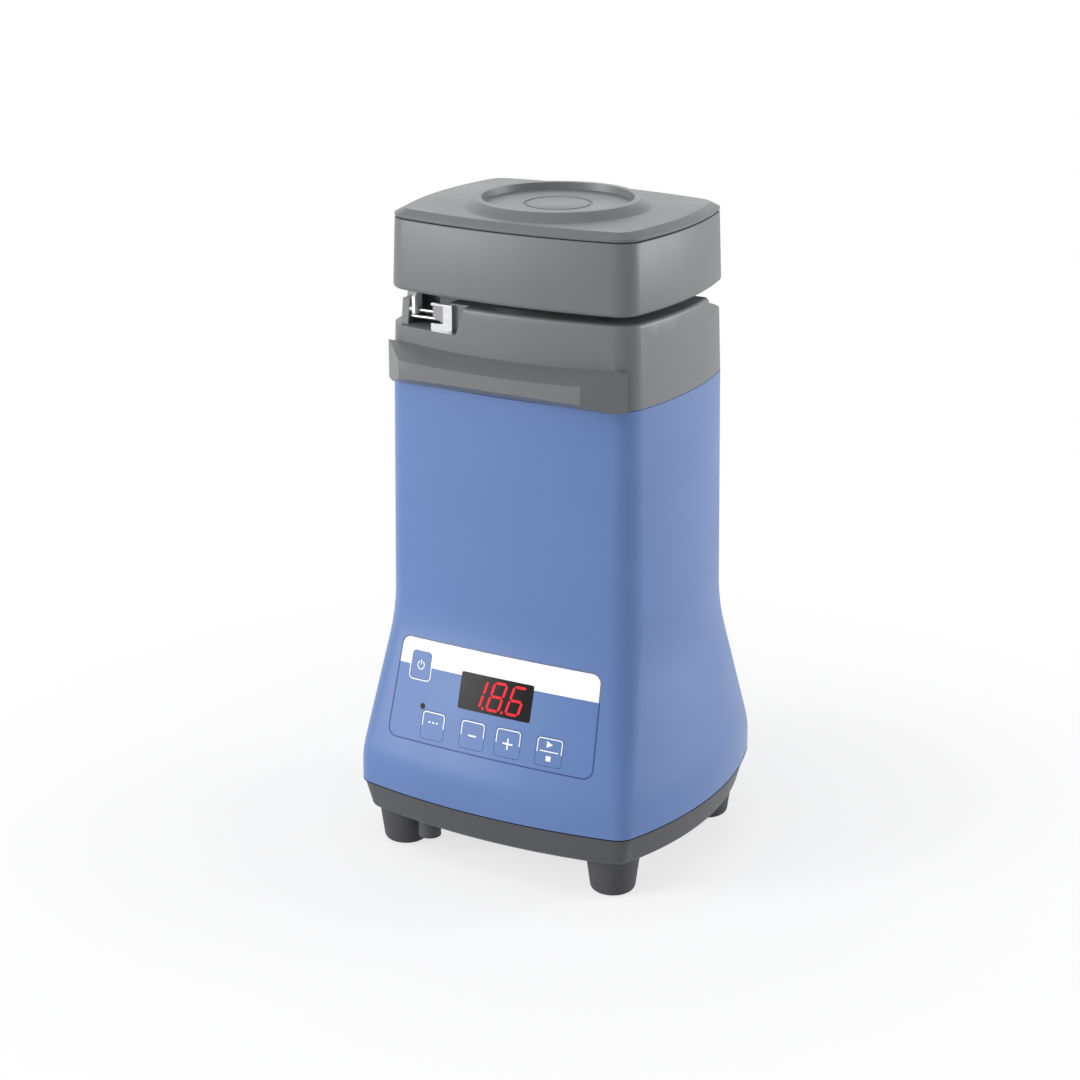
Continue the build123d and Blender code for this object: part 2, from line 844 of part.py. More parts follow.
with BuildPart() as bowl_gasket:
    with BuildSketch(Plane.XY.offset(z_deck)):
        Circle(bowl_flange_radius)
        Circle(bowl_radius + bowl_wall + part_gap, mode=Mode.SUBTRACT)
    extrude(amount=gasket_thickness)
save(bowl_gasket, "bowl_gasket")

with BuildPart() as shaft_seal:
    with BuildSketch(Plane.XY.offset(z_plate_top)):
        Circle(shaft_seal_radius)
        Circle(shaft_radius + fit_gap, mode=Mode.SUBTRACT)
    extrude(amount=bowl_floor + bowl_hub_height - shaft_seal_inset)
save(shaft_seal, "shaft_seal")

# Latch pieces: two pins, a polished bracket with a side window, a coil spring and the hook
for pin_name, z in (("latch_pivot_pin", z_pivot), ("latch_stop_pin", z_stop)):
    with BuildPart() as pin:
        with BuildSketch(Plane.YZ.offset(ear_left_x)):
            with Locations((latch_y, z)):
                Circle(pin_radius)
        extrude(amount=pin_right_x - ear_left_x)
    save(pin, pin_name)

with BuildPart() as latch_bracket:
    with BuildSketch(Plane.XY.offset(z_notch)):
        with BuildLine():
            right = bracket_left_x + bracket_width
            front = bracket_front_y + bracket_thickness
            Polyline((bracket_left_x, bracket_front_y), (right, bracket_front_y),
                     (right, notch_shallow_y), (right - bracket_thickness, notch_shallow_y),
                     (right - bracket_thickness, front), (bracket_left_x, front), close=True)
        make_face()
    extrude(amount=bracket_height)
    with BuildSketch(Plane.XZ.offset(-bracket_front_y)):
        with Locations((bracket_left_x, z_notch + window_sill)):
            Rectangle(window_width, window_height, align=(Align.MIN, Align.MIN))
    extrude(amount=-bracket_thickness, mode=Mode.SUBTRACT)
save(latch_bracket, "latch_bracket")

hook_front = latch_y - hook_depth / 2
hook_back = latch_y + hook_depth / 2
z_hook_foot = z_pivot - hook_foot
z_throat = z_pivot + hook_throat
z_nose = z_pivot + hook_nose_rise
with BuildPart() as latch_hook:
    with BuildSketch(Plane.YZ.offset(hook_left_x)) as hook_profile:
        with BuildLine():
            arm_front = hook_back - hook_arm_depth
            Polyline((hook_front, z_hook_foot), (hook_back, z_hook_foot),
                     (hook_back, z_nose + hook_nose_height),
                     (arm_front, z_nose + hook_nose_height),
                     (arm_front - hook_nose_reach, z_nose + hook_nose_height / 4),
                     (arm_front - hook_nose_reach, z_nose), (arm_front, z_nose),
                     (arm_front, z_throat), (hook_front, z_throat - hook_arm_depth / 2), close=True)
        make_face()
        with Locations((latch_y, z_pivot)):
            Circle(pin_radius + fit_gap, mode=Mode.SUBTRACT)
    extrude(amount=hook_thickness)
save(latch_hook, "latch_hook")

# Coil spring on the pivot pin, between the ear and the hook
spring_start = ear_left_x + ear_thickness + spring_wire / 2 + fit_gap
with BuildPart() as latch_spring:
    with BuildLine():
        coil = Helix(spring_pitch, spring_pitch * spring_turns, spring_mean_radius,
                     center=(spring_start, latch_y, z_pivot), direction=(1, 0, 0))
    with BuildSketch(Plane(origin=coil @ 0, z_dir=coil % 0)):
        RegularPolygon(spring_wire / 2, 6)
    sweep(path=coil, is_frenet=True)
save(latch_spring, "latch_spring")

# Lid skirt: a drafted ring with a web across it, slotted for the hook, and two hinge lugs
z_web = z_lid + web_rise
z_web_top = z_web + web_thickness
with BuildPart() as lid_skirt:
    loft([plan(z_lid, lid_rim_outline), plan(z_cap - seam_chamfer, lid_outline),
          plan(z_cap, lid_outline, seam_chamfer)], ruled=True)
    fillet(lid_skirt.edges().group_by(Axis.Z)[0], lid_rim_round)
    extrude(plan(z_web_top, lid_outline, lid_wall), amount=z_cap - z_web_top, mode=Mode.SUBTRACT)
    extrude(plan(z_lid, lid_rim_outline, lid_wall), amount=web_rise, mode=Mode.SUBTRACT)
    with BuildSketch(Plane.XY.offset(z_web)):
        with BuildLine():
            Polyline((slot_left_x, slot_front_y), (slot_right_x, slot_front_y),
                     (slot_right_x, slot_rear_y), (slot_left_x, slot_rear_y), close=True)
        make_face()
        with Locations(*four(lid_screw_x, lid_screw_y)):
            Circle(screw_radius + fit_gap)
        with Locations((reed_x, reed_y)):
            Circle(magnet_radius)
    extrude(amount=web_thickness, mode=Mode.SUBTRACT)
    with BuildSketch(Plane.XY.offset(z_web_top)):
        with Locations(((slot_left_x + slot_right_x) / 2, slot_front_y + overrun)):
            Rectangle(keeper_width, keeper_depth + overrun, align=(Align.CENTER, Align.MAX))
    extrude(amount=keeper_thickness, mode=Mode.SUBTRACT)
    for side in (-1, 1):
        lug_middle = side * (hinge_ear_x - part_gap - hinge_lug_width / 2)
        with BuildSketch(Plane.YZ.offset(lug_middle - hinge_lug_width / 2)):
            with Locations((hinge_y, z_hinge)):
                Circle(ear_radius)
            with BuildLine():
                Polyline((hinge_y - ear_radius, z_hinge), (hinge_y - ear_radius, z_web),
                         (lid_rim_outline[1] / 2 - lid_wall, z_web),
                         (hinge_y + ear_radius, z_hinge), close=True)
            make_face()
        extrude(amount=hinge_lug_width)
    with BuildSketch(Plane.YZ.offset(-hinge_ear_x)):
        with Locations((hinge_y, z_hinge)):
            Circle(hinge_pin_radius + fit_gap)
    extrude(amount=2 * hinge_ear_x, mode=Mode.SUBTRACT)
save(lid_skirt, "lid_skirt")

with BuildPart() as hinge_pin:
    with BuildSketch(Plane.YZ.offset(-hinge_ear_x - hinge_ear_width)):
        with Locations((hinge_y, z_hinge)):
            Circle(hinge_pin_radius)
    extrude(amount=2 * (hinge_ear_x + hinge_ear_width))
save(hinge_pin, "hinge_pin")

# Lid cap: a bevelled cover with a raised round pad, a dished floor and a ring groove
z_cap_slope = z_cap + cap_lip
z_cap_top = z_cap_slope + cap_slope_rise
z_pad = z_cap_top + cap_rise
with BuildPart() as lid_cap:
    loft([plan(z_cap, lid_outline, seam_chamfer), plan(z_cap + seam_chamfer, lid_outline),
          plan(z_cap_slope, lid_outline), plan(z_cap_top, lid_outline, cap_inset)], ruled=True)
    extrude(plan(z_cap - cap_rim_drop, lid_outline, lid_wall + fit_gap), amount=cap_rim_drop)
    with BuildSketch(Plane.XZ):
        with BuildLine():
            Polyline((0, z_cap_slope), (pad_flank_radius, z_cap_slope), (pad_flank_radius, z_cap_top),
                     (pad_crest_radius, z_pad), (0, z_pad), close=True)
        make_face()
    revolve(axis=Axis.Z)
    with BuildSketch(Plane.XZ):
        with BuildLine():
            pad_floor = z_pad - pad_floor_drop
            groove_floor = pad_floor - ring_depth
            Polyline((0, pad_floor), (ring_radius - ring_width, pad_floor),
                     (ring_radius - ring_width / 2, groove_floor),
                     (ring_radius + ring_width / 2, groove_floor),
                     (ring_radius + ring_width, pad_floor), (pad_rim_radius - pad_rim_round, pad_floor),
                     (pad_rim_radius, z_pad), (0, z_pad), close=True)
        make_face()
    revolve(axis=Axis.Z, mode=Mode.SUBTRACT)
    extrude(plan(z_cap - cap_rim_drop, lid_outline, lid_wall + cap_rim_width),
            amount=cap_rim_drop + cap_lip - cap_thickness / 2, mode=Mode.SUBTRACT)
    with BuildSketch(Plane.XY.offset(z_web_top)):
        with Locations(*four(lid_screw_x, lid_screw_y)):
            Circle(lid_boss_radius)
    extrude(amount=z_cap_slope - z_web_top)
    with BuildSketch(Plane.XY.offset(z_web_top)):
        with Locations(*four(lid_screw_x, lid_screw_y)):
            Circle(screw_radius)
    extrude(amount=screw_bite, mode=Mode.SUBTRACT)
save(lid_cap, "lid_cap")

with BuildPart() as lid_screws:
    with BuildSketch(Plane.XY.offset(z_web)):
        with Locations(*four(lid_screw_x, lid_screw_y)):
            Circle(screw_head_radius)
    extrude(amount=-screw_head_height / 2)
    with BuildSketch(Plane.XY.offset(z_web)):
        with Locations(*four(lid_screw_x, lid_screw_y)):
            Circle(screw_radius)
    extrude(amount=web_thickness + screw_bite)
save(lid_screws, "lid_screws")

# Liner under the web, dished into the bowl, with the seal that meets the bowl's flange
with BuildPart() as lid_liner:
    with BuildSketch(Plane.XZ):
        with BuildLine():
            dish = z_web - liner_dish_depth
            edge = liner_dish_radius + liner_dish_depth
            Polyline((0, dish), (liner_dish_radius, dish), (edge, z_web), (liner_radius, z_web),
                     (liner_radius, z_web - liner_thickness), (edge, z_web - liner_thickness),
                     (liner_dish_radius, dish - liner_thickness), (0, dish - liner_thickness),
                     close=True)
        make_face()
    revolve(axis=Axis.Z)
save(lid_liner, "lid_liner")

z_seal_top = z_web - liner_thickness
with BuildPart() as lid_seal:
    with BuildSketch(Plane.XY.offset(z_seal_top)):
        Circle(bowl_flange_radius - part_gap)
        Circle(bowl_flange_radius - part_gap - lid_seal_width, mode=Mode.SUBTRACT)
    extrude(amount=-(z_seal_top - z_bowl_top - part_gap))
save(lid_seal, "lid_seal")

with BuildPart() as lid_magnet:
    with BuildSketch(Plane.XY.offset(z_web)):
        with Locations((reed_x, reed_y)):
            Circle(magnet_radius)
    extrude(amount=web_thickness)
save(lid_magnet, "lid_magnet")

with BuildPart() as latch_keeper:
    with BuildSketch(Plane.XY.offset(z_web_top)):
        with Locations(((slot_left_x + slot_right_x) / 2, slot_front_y)):
            Rectangle(keeper_width, keeper_depth, align=(Align.CENTER, Align.MAX))
    extrude(amount=keeper_thickness)
save(latch_keeper, "latch_keeper")

# Rotor: shaft, armature, commutator, fan, blade and nut turn together
z_bearing = z_plate - plate_boss_drop
z_fan = z_bearing - fan_top_gap - fan_height
z_core = z_plate - core_drop - core_height
z_comm = z_core - comm_drop - comm_height
z_lower_bearing = z_comm - lower_bearing_drop - bearing_height
z_shaft = z_lower_bearing - shaft_below
z_blade = z_plate_top + bowl_floor + blade_rise
z_nut = z_blade + blade_thickness
with BuildPart() as motor_shaft:
    with BuildSketch(Plane.XY.offset(z_shaft)):
        Circle(shaft_radius)
    extrude(amount=z_blade - z_shaft)
    with BuildSketch(Plane.XY.offset(z_blade)):
        Circle(shaft_tip_radius)
    extrude(amount=z_shaft + shaft_length - z_blade)
save(motor_shaft, "motor_shaft")

with BuildPart() as armature_core:
    with BuildSketch(Plane.XY.offset(z_core)):
        Circle(core_radius)
        Circle(shaft_radius, mode=Mode.SUBTRACT)
        with PolarLocations(core_radius - core_slot_depth / 2 + overrun / 2, core_slots):
            Rectangle(core_slot_depth + overrun, core_slot_width, mode=Mode.SUBTRACT)
    extrude(amount=core_height)
save(armature_core, "armature_core")

with BuildPart() as armature_winding:
    with BuildSketch(Plane.XY.offset(z_core)):
        with PolarLocations(core_radius - core_slot_depth / 2, core_slots):
            Rectangle(core_slot_depth - 2 * winding_gap, core_slot_width - 2 * winding_gap)
    extrude(amount=core_height)
    for z in (z_core - winding_overhang, z_core + core_height):
        with BuildSketch(Plane.XY.offset(z)):
            Circle(winding_outer)
            Circle(winding_inner, mode=Mode.SUBTRACT)
        extrude(amount=winding_overhang)
    fillet(armature_winding.edges().group_by(Axis.Z)[0], winding_round)
    fillet(armature_winding.edges().group_by(Axis.Z)[-1], winding_round)
save(armature_winding, "armature_winding")

with BuildPart() as commutator:
    with BuildSketch(Plane.XY.offset(z_comm)):
        Circle(comm_radius)
        Circle(shaft_radius, mode=Mode.SUBTRACT)
        with PolarLocations(comm_radius, comm_bars):
            Rectangle(2 * comm_slot_depth, comm_slot_width, mode=Mode.SUBTRACT)
    extrude(amount=comm_height)
save(commutator, "commutator")

with BuildPart() as cooling_fan:
    with BuildSketch(Plane.XY.offset(z_fan)):
        Circle(fan_radius)
    extrude(amount=fan_disc)
    with BuildSketch(Plane.XY.offset(z_fan)):
        Circle(fan_hub_radius)
        with PolarLocations(fan_blade_middle, fan_blades):
            Rectangle(fan_blade_length, fan_blade, rotation=fan_blade_lean)
    extrude(amount=fan_height)
    with BuildSketch(Plane.XY.offset(z_fan)):
        Circle(shaft_radius)
    extrude(amount=fan_height, mode=Mode.SUBTRACT)
save(cooling_fan, "cooling_fan")


def blade_outline(z, half_width):
    """Two swept arms, drawn point-symmetric about the shaft."""
    with BuildSketch(Plane.XY.offset(z)) as outline:
        with BuildLine():
            Polyline((blade_radius, half_width - blade_sweep), (blade_radius - blade_sweep, half_width),
                     (0, half_width), (-blade_radius, blade_sweep - half_width),
                     (blade_sweep - blade_radius, -half_width), (0, -half_width), close=True)
        make_face()
    return outline.sketch


with BuildPart() as milling_blade:
    loft([blade_outline(z_blade, blade_width / 2),
          blade_outline(z_nut, blade_width / 2 - blade_bevel)], ruled=True)
    with BuildSketch(Plane.XY.offset(z_blade)):
        Circle(blade_hub_radius)
    extrude(amount=blade_thickness)
    with BuildSketch(Plane.XY.offset(z_blade)):
        Circle(shaft_tip_radius)
    extrude(amount=blade_thickness, mode=Mode.SUBTRACT)
save(milling_blade, "milling_blade")

with BuildPart() as blade_nut:
    with BuildSketch(Plane.XY.offset(z_nut)):
        RegularPolygon(nut_size / 2, 6, major_radius=False)
    extrude(amount=nut_height)
    with BuildSketch(Plane.XY.offset(z_nut)):
        Circle(shaft_tip_radius)
    extrude(amount=z_shaft + shaft_length + nut_gap - z_nut, mode=Mode.SUBTRACT)
save(blade_nut, "blade_nut")

# Bearings: one in the motor plate's boss, one in the lower bracket
for bearing_name, z in (("upper_bearing", z_bearing), ("lower_bearing", z_lower_bearing)):
    with BuildPart() as bearing:
        with BuildSketch(Plane.XY.offset(z)):
            Circle(bearing_radius)
            Circle(shaft_radius + fit_gap, mode=Mode.SUBTRACT)
        extrude(amount=bearing_height)
        for z_groove in (z, z + bearing_height - bearing_groove):
            with BuildSketch(Plane.XY.offset(z_groove)):
                Circle(bearing_radius - bearing_race)
                Circle(shaft_radius + bearing_race, mode=Mode.SUBTRACT)
            extrude(amount=bearing_groove, mode=Mode.SUBTRACT)
    save(bearing, bearing_name)

# Lower bracket: a spider with a bearing pocket and a bar for the brush holders
z_bracket = z_lower_bearing - bracket_wall
z_bracket_top = z_lower_bearing + bearing_height
holder_x = comm_radius + holder_start
diagonal = 45
with BuildPart() as motor_bracket:
    with BuildSketch(Plane.XY.offset(z_bracket)):
        Circle(bracket_hub_radius)
        for turn in (-diagonal, diagonal):
            SlotCenterToCenter(2 * bolt_offset / cos(radians(diagonal)), bracket_arm_width, rotation=turn)
        Rectangle(2 * (holder_x + holder_length), bracket_arm_width)
    extrude(amount=bracket_wall + bearing_height)
    with BuildSketch(Plane.XY.offset(z_lower_bearing)):
        Circle(bearing_radius + fit_gap)
    extrude(amount=bearing_height, mode=Mode.SUBTRACT)
    with BuildSketch(Plane.XY.offset(z_bracket)):
        Circle(shaft_radius + overrun)
        with Locations(*four(bolt_offset, bolt_offset)):
            Circle(bolt_radius + fit_gap)
    extrude(amount=bracket_wall + bearing_height, mode=Mode.SUBTRACT)
save(motor_bracket, "motor_bracket")

# Long bolts with spacers: they clamp bracket and stator to the motor plate
with BuildPart() as motor_bolts:
    for z, radius, length in ((z_bracket - bolt_head_height, bolt_head_radius, bolt_head_height),
                              (z_bracket, bolt_radius, z_plate_top - bolt_end_gap - z_bracket),
                              (z_bracket_top, spacer_radius, z_core - z_bracket_top),
                              (z_core + core_height, spacer_radius, core_drop)):
        with BuildSketch(Plane.XY.offset(z)):
            with Locations(*four(bolt_offset, bolt_offset)):
                Circle(radius)
        extrude(amount=length)
save(motor_bolts, "motor_bolts")

coil_middle_x = coil_slot_x + coil_slot_width / 2
coil_middle_y = coil_slot_y + coil_slot_height / 2
with BuildPart() as stator_core:
    with BuildSketch(Plane.XY.offset(z_core)):
        RectangleRounded(stator_size, stator_size, stator_corner)
        Circle(core_radius + air_gap, mode=Mode.SUBTRACT)
        with Locations(*four(coil_middle_x, coil_middle_y)):
            Rectangle(coil_slot_width, coil_slot_height, mode=Mode.SUBTRACT)
        with Locations(*four(bolt_offset, bolt_offset)):
            Circle(bolt_radius + fit_gap, mode=Mode.SUBTRACT)
    extrude(amount=core_height)
save(stator_core, "stator_core")

coil_width = coil_slot_width - 2 * coil_gap
coil_height = coil_slot_height - 2 * coil_gap
with BuildPart() as field_coils:
    for side in (-1, 1):
        with BuildSketch(Plane.YZ.offset(side * coil_middle_x - coil_width / 2)):
            with Locations((0, z_core + core_height / 2)):
                RectangleRounded(2 * coil_middle_y + coil_height, core_height + 2 * coil_overhang,
                                 coil_round)
                Rectangle(2 * coil_middle_y - coil_height, core_height, mode=Mode.SUBTRACT)
        extrude(amount=coil_width)
save(field_coils, "field_coils")

# Brush holders stand on the bracket's bar and hold the brushes just off the commutator
z_brush = z_comm + comm_height / 2
with BuildPart() as brush_holders:
    for side in (-1, 1):
        holder_left = side * (holder_x + holder_length / 2) - holder_length / 2
        with BuildSketch(Plane.YZ.offset(holder_left)):
            with Locations((0, z_brush)):
                Rectangle(brush_width + 2 * holder_wall, brush_height + 2 * holder_wall)
        extrude(amount=holder_length)
        with BuildSketch(Plane.XY.offset(z_bracket_top)):
            with Locations((side * (holder_x + holder_length - holder_foot / 2), 0)):
                Rectangle(holder_foot, brush_width + 2 * holder_wall)
        extrude(amount=z_brush - z_bracket_top)
        with BuildSketch(Plane.YZ.offset(holder_left)):
            with Locations((0, z_brush)):
                Rectangle(brush_width, brush_height)
        extrude(amount=holder_length, mode=Mode.SUBTRACT)
save(brush_holders, "brush_holders")

with BuildPart() as carbon_brushes:
    for side in (-1, 1):
        brush_middle = side * (comm_radius + part_gap + brush_length / 2)
        with BuildSketch(Plane.YZ.offset(brush_middle - brush_length / 2)):
            with Locations((0, z_brush)):
                Rectangle(brush_width, brush_height)
        extrude(amount=brush_length)
save(carbon_brushes, "carbon_brushes")

# Front panel and display window: thin shells that follow the housing's bulged front
with BuildPart() as front_panel:
    extrude(panel_face(), amount=board_depth, both=True)
    housing_solid(mode=Mode.INTERSECT)
    housing_solid(panel_thickness, Mode.SUBTRACT)
    for place in key_places.values():
        extrude(key_face(place, key_gap), amount=board_depth, both=True, mode=Mode.SUBTRACT)
    extrude(display_face(fit_gap), amount=board_depth, both=True, mode=Mode.SUBTRACT)
    with BuildSketch(panel_plane):
        with Locations((indicator_x, indicator_t)):
            Circle(indicator_radius + fit_gap)
    extrude(amount=board_depth, both=True, mode=Mode.SUBTRACT)
save(front_panel, "front_panel")

with BuildPart() as display_window:
    extrude(display_face(), amount=board_depth, both=True)
    housing_solid(mode=Mode.INTERSECT)
    housing_solid(panel_thickness, Mode.SUBTRACT)
save(display_window, "display_window")

with BuildPart() as indicator_light:
    with BuildSketch(panel_plane.offset(-board_depth)):
        with Locations((indicator_x, indicator_t)):
            Circle(indicator_radius)
    extrude(amount=board_depth)
    housing_solid(mode=Mode.INTERSECT)
save(indicator_light, "indicator_light")

# Keys: flush caps with a flat back, just above the switches' plungers
for key_name, place in key_places.items():
    with BuildPart() as key:
        extrude(key_face(place), amount=key_back, both=True)
        housing_solid(mode=Mode.INTERSECT)
    save(key, key_name)

with BuildPart() as display_board:
    with BuildSketch(panel_plane.offset(-board_depth - board_thickness)):
        Rectangle(board_width, board_height)
        with Locations(*four(standoff_x, standoff_t)):
            Circle(small_screw_radius + fit_gap, mode=Mode.SUBTRACT)
    extrude(amount=board_thickness)
save(display_board, "display_board")

with BuildPart() as display_module:
    with BuildSketch(panel_plane.offset(-board_depth)):
        with Locations((display_x, display_t)):
            Rectangle(display_width - 2 * module_inset, display_height - 2 * module_inset)
    extrude(amount=board_depth - module_face_depth)
save(display_module, "display_module")

with BuildPart() as key_switches:
    for x, t, width, height in key_places.values():
        with BuildSketch(panel_plane.offset(-board_depth)):
            with Locations((x, t)):
                Rectangle(switch_size, switch_size)
        extrude(amount=switch_height)
        with BuildSketch(panel_plane.offset(-board_depth)):
            with Locations((x, t)):
                Circle(plunger_radius)
        extrude(amount=switch_height + plunger_height)
save(key_switches, "key_switches")

with BuildPart() as board_screws:
    with BuildSketch(panel_plane.offset(-board_depth - board_thickness)):
        with Locations(*four(standoff_x, standoff_t)):
            Circle(small_head_radius)
    extrude(amount=-small_head_height)
    with BuildSketch(panel_plane.offset(-board_depth - board_thickness)):
        with Locations(*four(standoff_x, standoff_t)):
            Circle(small_screw_radius)
    extrude(amount=board_thickness + board_screw_bite)
save(board_screws, "board_screws")

# Mains board on the pan's posts, with a capacitor, a choke and a relay
z_mains = z_pan + mains_board_rise
z_mains_top = z_mains + board_thickness
with BuildPart() as mains_board:
    with BuildSketch(Plane.XY.offset(z_mains)):
        Rectangle(mains_board_width, mains_board_depth)
        with Locations(*four(mains_post_x, mains_post_y)):
            Circle(small_screw_radius + fit_gap, mode=Mode.SUBTRACT)
    extrude(amount=board_thickness)
    with BuildSketch(Plane.XY.offset(z_mains_top)):
        with Locations((cap_can_x, cap_can_y)):
            Circle(cap_can_radius)
    extrude(amount=cap_can_height)
    with BuildSketch(Plane.XY.offset(z_mains_top)):
        with Locations((choke_x, choke_y)):
            Rectangle(choke_size, choke_size)
    extrude(amount=choke_height)
    with BuildSketch(Plane.XY.offset(z_mains_top)):
        with Locations((choke_x, relay_y)):
            Rectangle(relay_width, relay_depth)
    extrude(amount=relay_height)
save(mains_board, "mains_board")

with BuildPart() as mains_screws:
    with BuildSketch(Plane.XY.offset(z_mains_top)):
        with Locations(*four(mains_post_x, mains_post_y)):
            Circle(small_head_radius)
    extrude(amount=small_head_height)
    with BuildSketch(Plane.XY.offset(z_mains_top)):
        with Locations(*four(mains_post_x, mains_post_y)):
            Circle(small_screw_radius)
    extrude(amount=-board_thickness - board_screw_bite)
save(mains_screws, "mains_screws")

# Mains inlet: a flanged block with a rounded socket and three contacts
inlet_front = inlet_plane.offset(inlet_flange - inlet_seat)
inlet_screw_places = [(-inlet_screw_pitch / 2, 0), (inlet_screw_pitch / 2, 0)]
contact_places = [(-contact_pitch / 2, -contact_drop), (contact_pitch / 2, -contact_drop), (0, earth_lift)]
with BuildPart() as mains_inlet:
    with BuildSketch(inlet_front):
        RectangleRounded(inlet_flange_width, inlet_flange_height, inlet_flange_corner)
    extrude(amount=-inlet_flange)
    with BuildSketch(inlet_front):
        Rectangle(inlet_body_width, inlet_body_height)
    extrude(amount=-inlet_flange - inlet_body_depth)
    with BuildSketch(inlet_front):
        RectangleRounded(inlet_socket_width, inlet_socket_height, inlet_socket_corner)
    extrude(amount=-inlet_socket_depth, mode=Mode.SUBTRACT)
    with BuildSketch(inlet_front):
        with Locations(*inlet_screw_places):
            Circle(small_head_radius + fit_gap)
    extrude(amount=-small_head_height, mode=Mode.SUBTRACT)
    with BuildSketch(inlet_front):
        with Locations(*inlet_screw_places):
            Circle(small_screw_radius + fit_gap)
        with Locations(*contact_places):
            Rectangle(contact_width, contact_height)
    extrude(amount=-inlet_flange - inlet_body_depth, mode=Mode.SUBTRACT)
save(mains_inlet, "mains_inlet")

with BuildPart() as inlet_contacts:
    with BuildSketch(inlet_front.offset(-contact_inset)):
        with Locations(*contact_places):
            Rectangle(contact_width, contact_height)
    extrude(amount=-contact_length)
save(inlet_contacts, "inlet_contacts")

with BuildPart() as inlet_screws:
    with BuildSketch(inlet_front):
        with Locations(*inlet_screw_places):
            Circle(small_head_radius)
    extrude(amount=-small_head_height)
    with BuildSketch(inlet_front):
        with Locations(*inlet_screw_places):
            Circle(small_screw_radius)
    extrude(amount=-inlet_flange - board_screw_bite)
save(inlet_screws, "inlet_screws")
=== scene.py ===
"""Looks of the bench-top analytical mill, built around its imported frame. Lengths are in metres."""

import json
import math

import bpy
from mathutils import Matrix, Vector
from mathutils.bvhtree import BVHTree


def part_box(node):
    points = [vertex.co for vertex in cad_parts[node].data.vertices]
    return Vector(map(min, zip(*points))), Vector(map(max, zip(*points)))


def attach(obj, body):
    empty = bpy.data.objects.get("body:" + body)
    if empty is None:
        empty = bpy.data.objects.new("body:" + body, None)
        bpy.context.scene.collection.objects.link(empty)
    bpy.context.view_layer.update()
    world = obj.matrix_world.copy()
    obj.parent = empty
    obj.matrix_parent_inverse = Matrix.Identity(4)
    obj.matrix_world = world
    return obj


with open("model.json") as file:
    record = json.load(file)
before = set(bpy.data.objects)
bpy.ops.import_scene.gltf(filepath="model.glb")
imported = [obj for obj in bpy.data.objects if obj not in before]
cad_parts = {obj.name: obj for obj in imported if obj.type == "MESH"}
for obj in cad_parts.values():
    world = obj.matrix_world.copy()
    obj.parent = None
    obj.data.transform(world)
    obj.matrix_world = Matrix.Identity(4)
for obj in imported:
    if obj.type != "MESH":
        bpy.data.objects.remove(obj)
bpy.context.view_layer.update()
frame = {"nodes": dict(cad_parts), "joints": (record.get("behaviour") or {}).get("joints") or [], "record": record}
cad_nodes = frame["nodes"]

# Colours, linear
BLUE = (0.102, 0.183, 0.408)
PANEL_BLUE = (0.092, 0.178, 0.405)
# Painted shade: navy for the gap round the key panel and the joint under the collar
NAVY = (0.020, 0.055, 0.22)
GREY = (0.138, 0.141, 0.145)
DARK_GREY = (0.074, 0.075, 0.082)
FOOT_GREY = (0.068, 0.068, 0.074)
# Painted shadow: near black for the gaps of the seams
SEAM_DARK = (0.010, 0.010, 0.012)
INK = (0.93, 0.93, 0.93)
BLACK = (0.012, 0.012, 0.013)
LED_RED = (0.80, 0.018, 0.03)

# Camera of the photograph, whose frame is 1080 by 1080
CAMERA_PLACE = (0.46597, -0.82228, 0.44269)
CAMERA_TURN = 29.54
CAMERA_TILT = 18.7
CAMERA_LENS = 84.1
CAMERA_SENSOR = 36.0
CAMERA_SHIFT_X = -0.0167


# Materials: the span that noise values mostly keep to, and the patterns' scales, depths and swings
NOISE_LOW = 0.3
NOISE_HIGH = 0.7
CLOUD_SCALE = 18.0
GLOSS_SCALE = 45.0
GLOSS_SWING = 0.03
GRAIN_STRENGTH = 0.5
WORN_SHARE = 0.93
LEAST_ROUGHNESS = 0.03
BRIGHTER_SWING = 0.05
DULLER_SWING = 0.06
SCRATCH_STRENGTH = 0.4
BAND_WANDER = 0.4
BAND_STRENGTH = 0.5
TRACK_SCALE = 260.0
TRACK_WIDTH = 0.12
TRACK_STRENGTH = 0.3
TRACK_DEPTH = 0.00003
BOARD_GREEN = (0.012, 0.10, 0.04)
TRACK_GREEN = (0.03, 0.20, 0.09)
BOARD_ROUGHNESS = 0.35
FLICKER_SCALE = 900.0
FLICKER_SHARE = 0.9
LIT_ROUGHNESS = 0.4
LIT_SPECULAR = 0.1
SMEAR_SCALE = 60.0
SMEAR_LOW = 0.16
SMEAR_HIGH = 0.24
TINT_SCALE = 30.0
WINDOW_DARK = (0.009, 0.009, 0.010)
WINDOW_LIGHT = (0.014, 0.013, 0.014)
WINDOW_SPECULAR = 0.14


def shader(name):
    """A new node material: its tree's nodes, its links and its Principled shader."""
    material = bpy.data.materials.new(name)
    material.use_nodes = True
    tree = material.node_tree
    return material, tree.nodes, tree.links, tree.nodes["Principled BSDF"]


def place_of(nodes, links, stretch=(1, 1, 1)):
    """Coordinates in the row frame, stretched along each axis."""
    coordinate = nodes.new("ShaderNodeTexCoord")
    mapping = nodes.new("ShaderNodeMapping")
    mapping.inputs["Scale"].default_value = stretch
    links.new(coordinate.outputs["Object"], mapping.inputs["Vector"])
    return mapping.outputs["Vector"]


def noise(nodes, links, place, scale, detail=2.0):
    """The value of a noise texture at this scale."""
    texture = nodes.new("ShaderNodeTexNoise")
    texture.inputs["Scale"].default_value = scale
    texture.inputs["Detail"].default_value = detail
    links.new(place, texture.inputs["Vector"])
    return texture.outputs["Fac"]


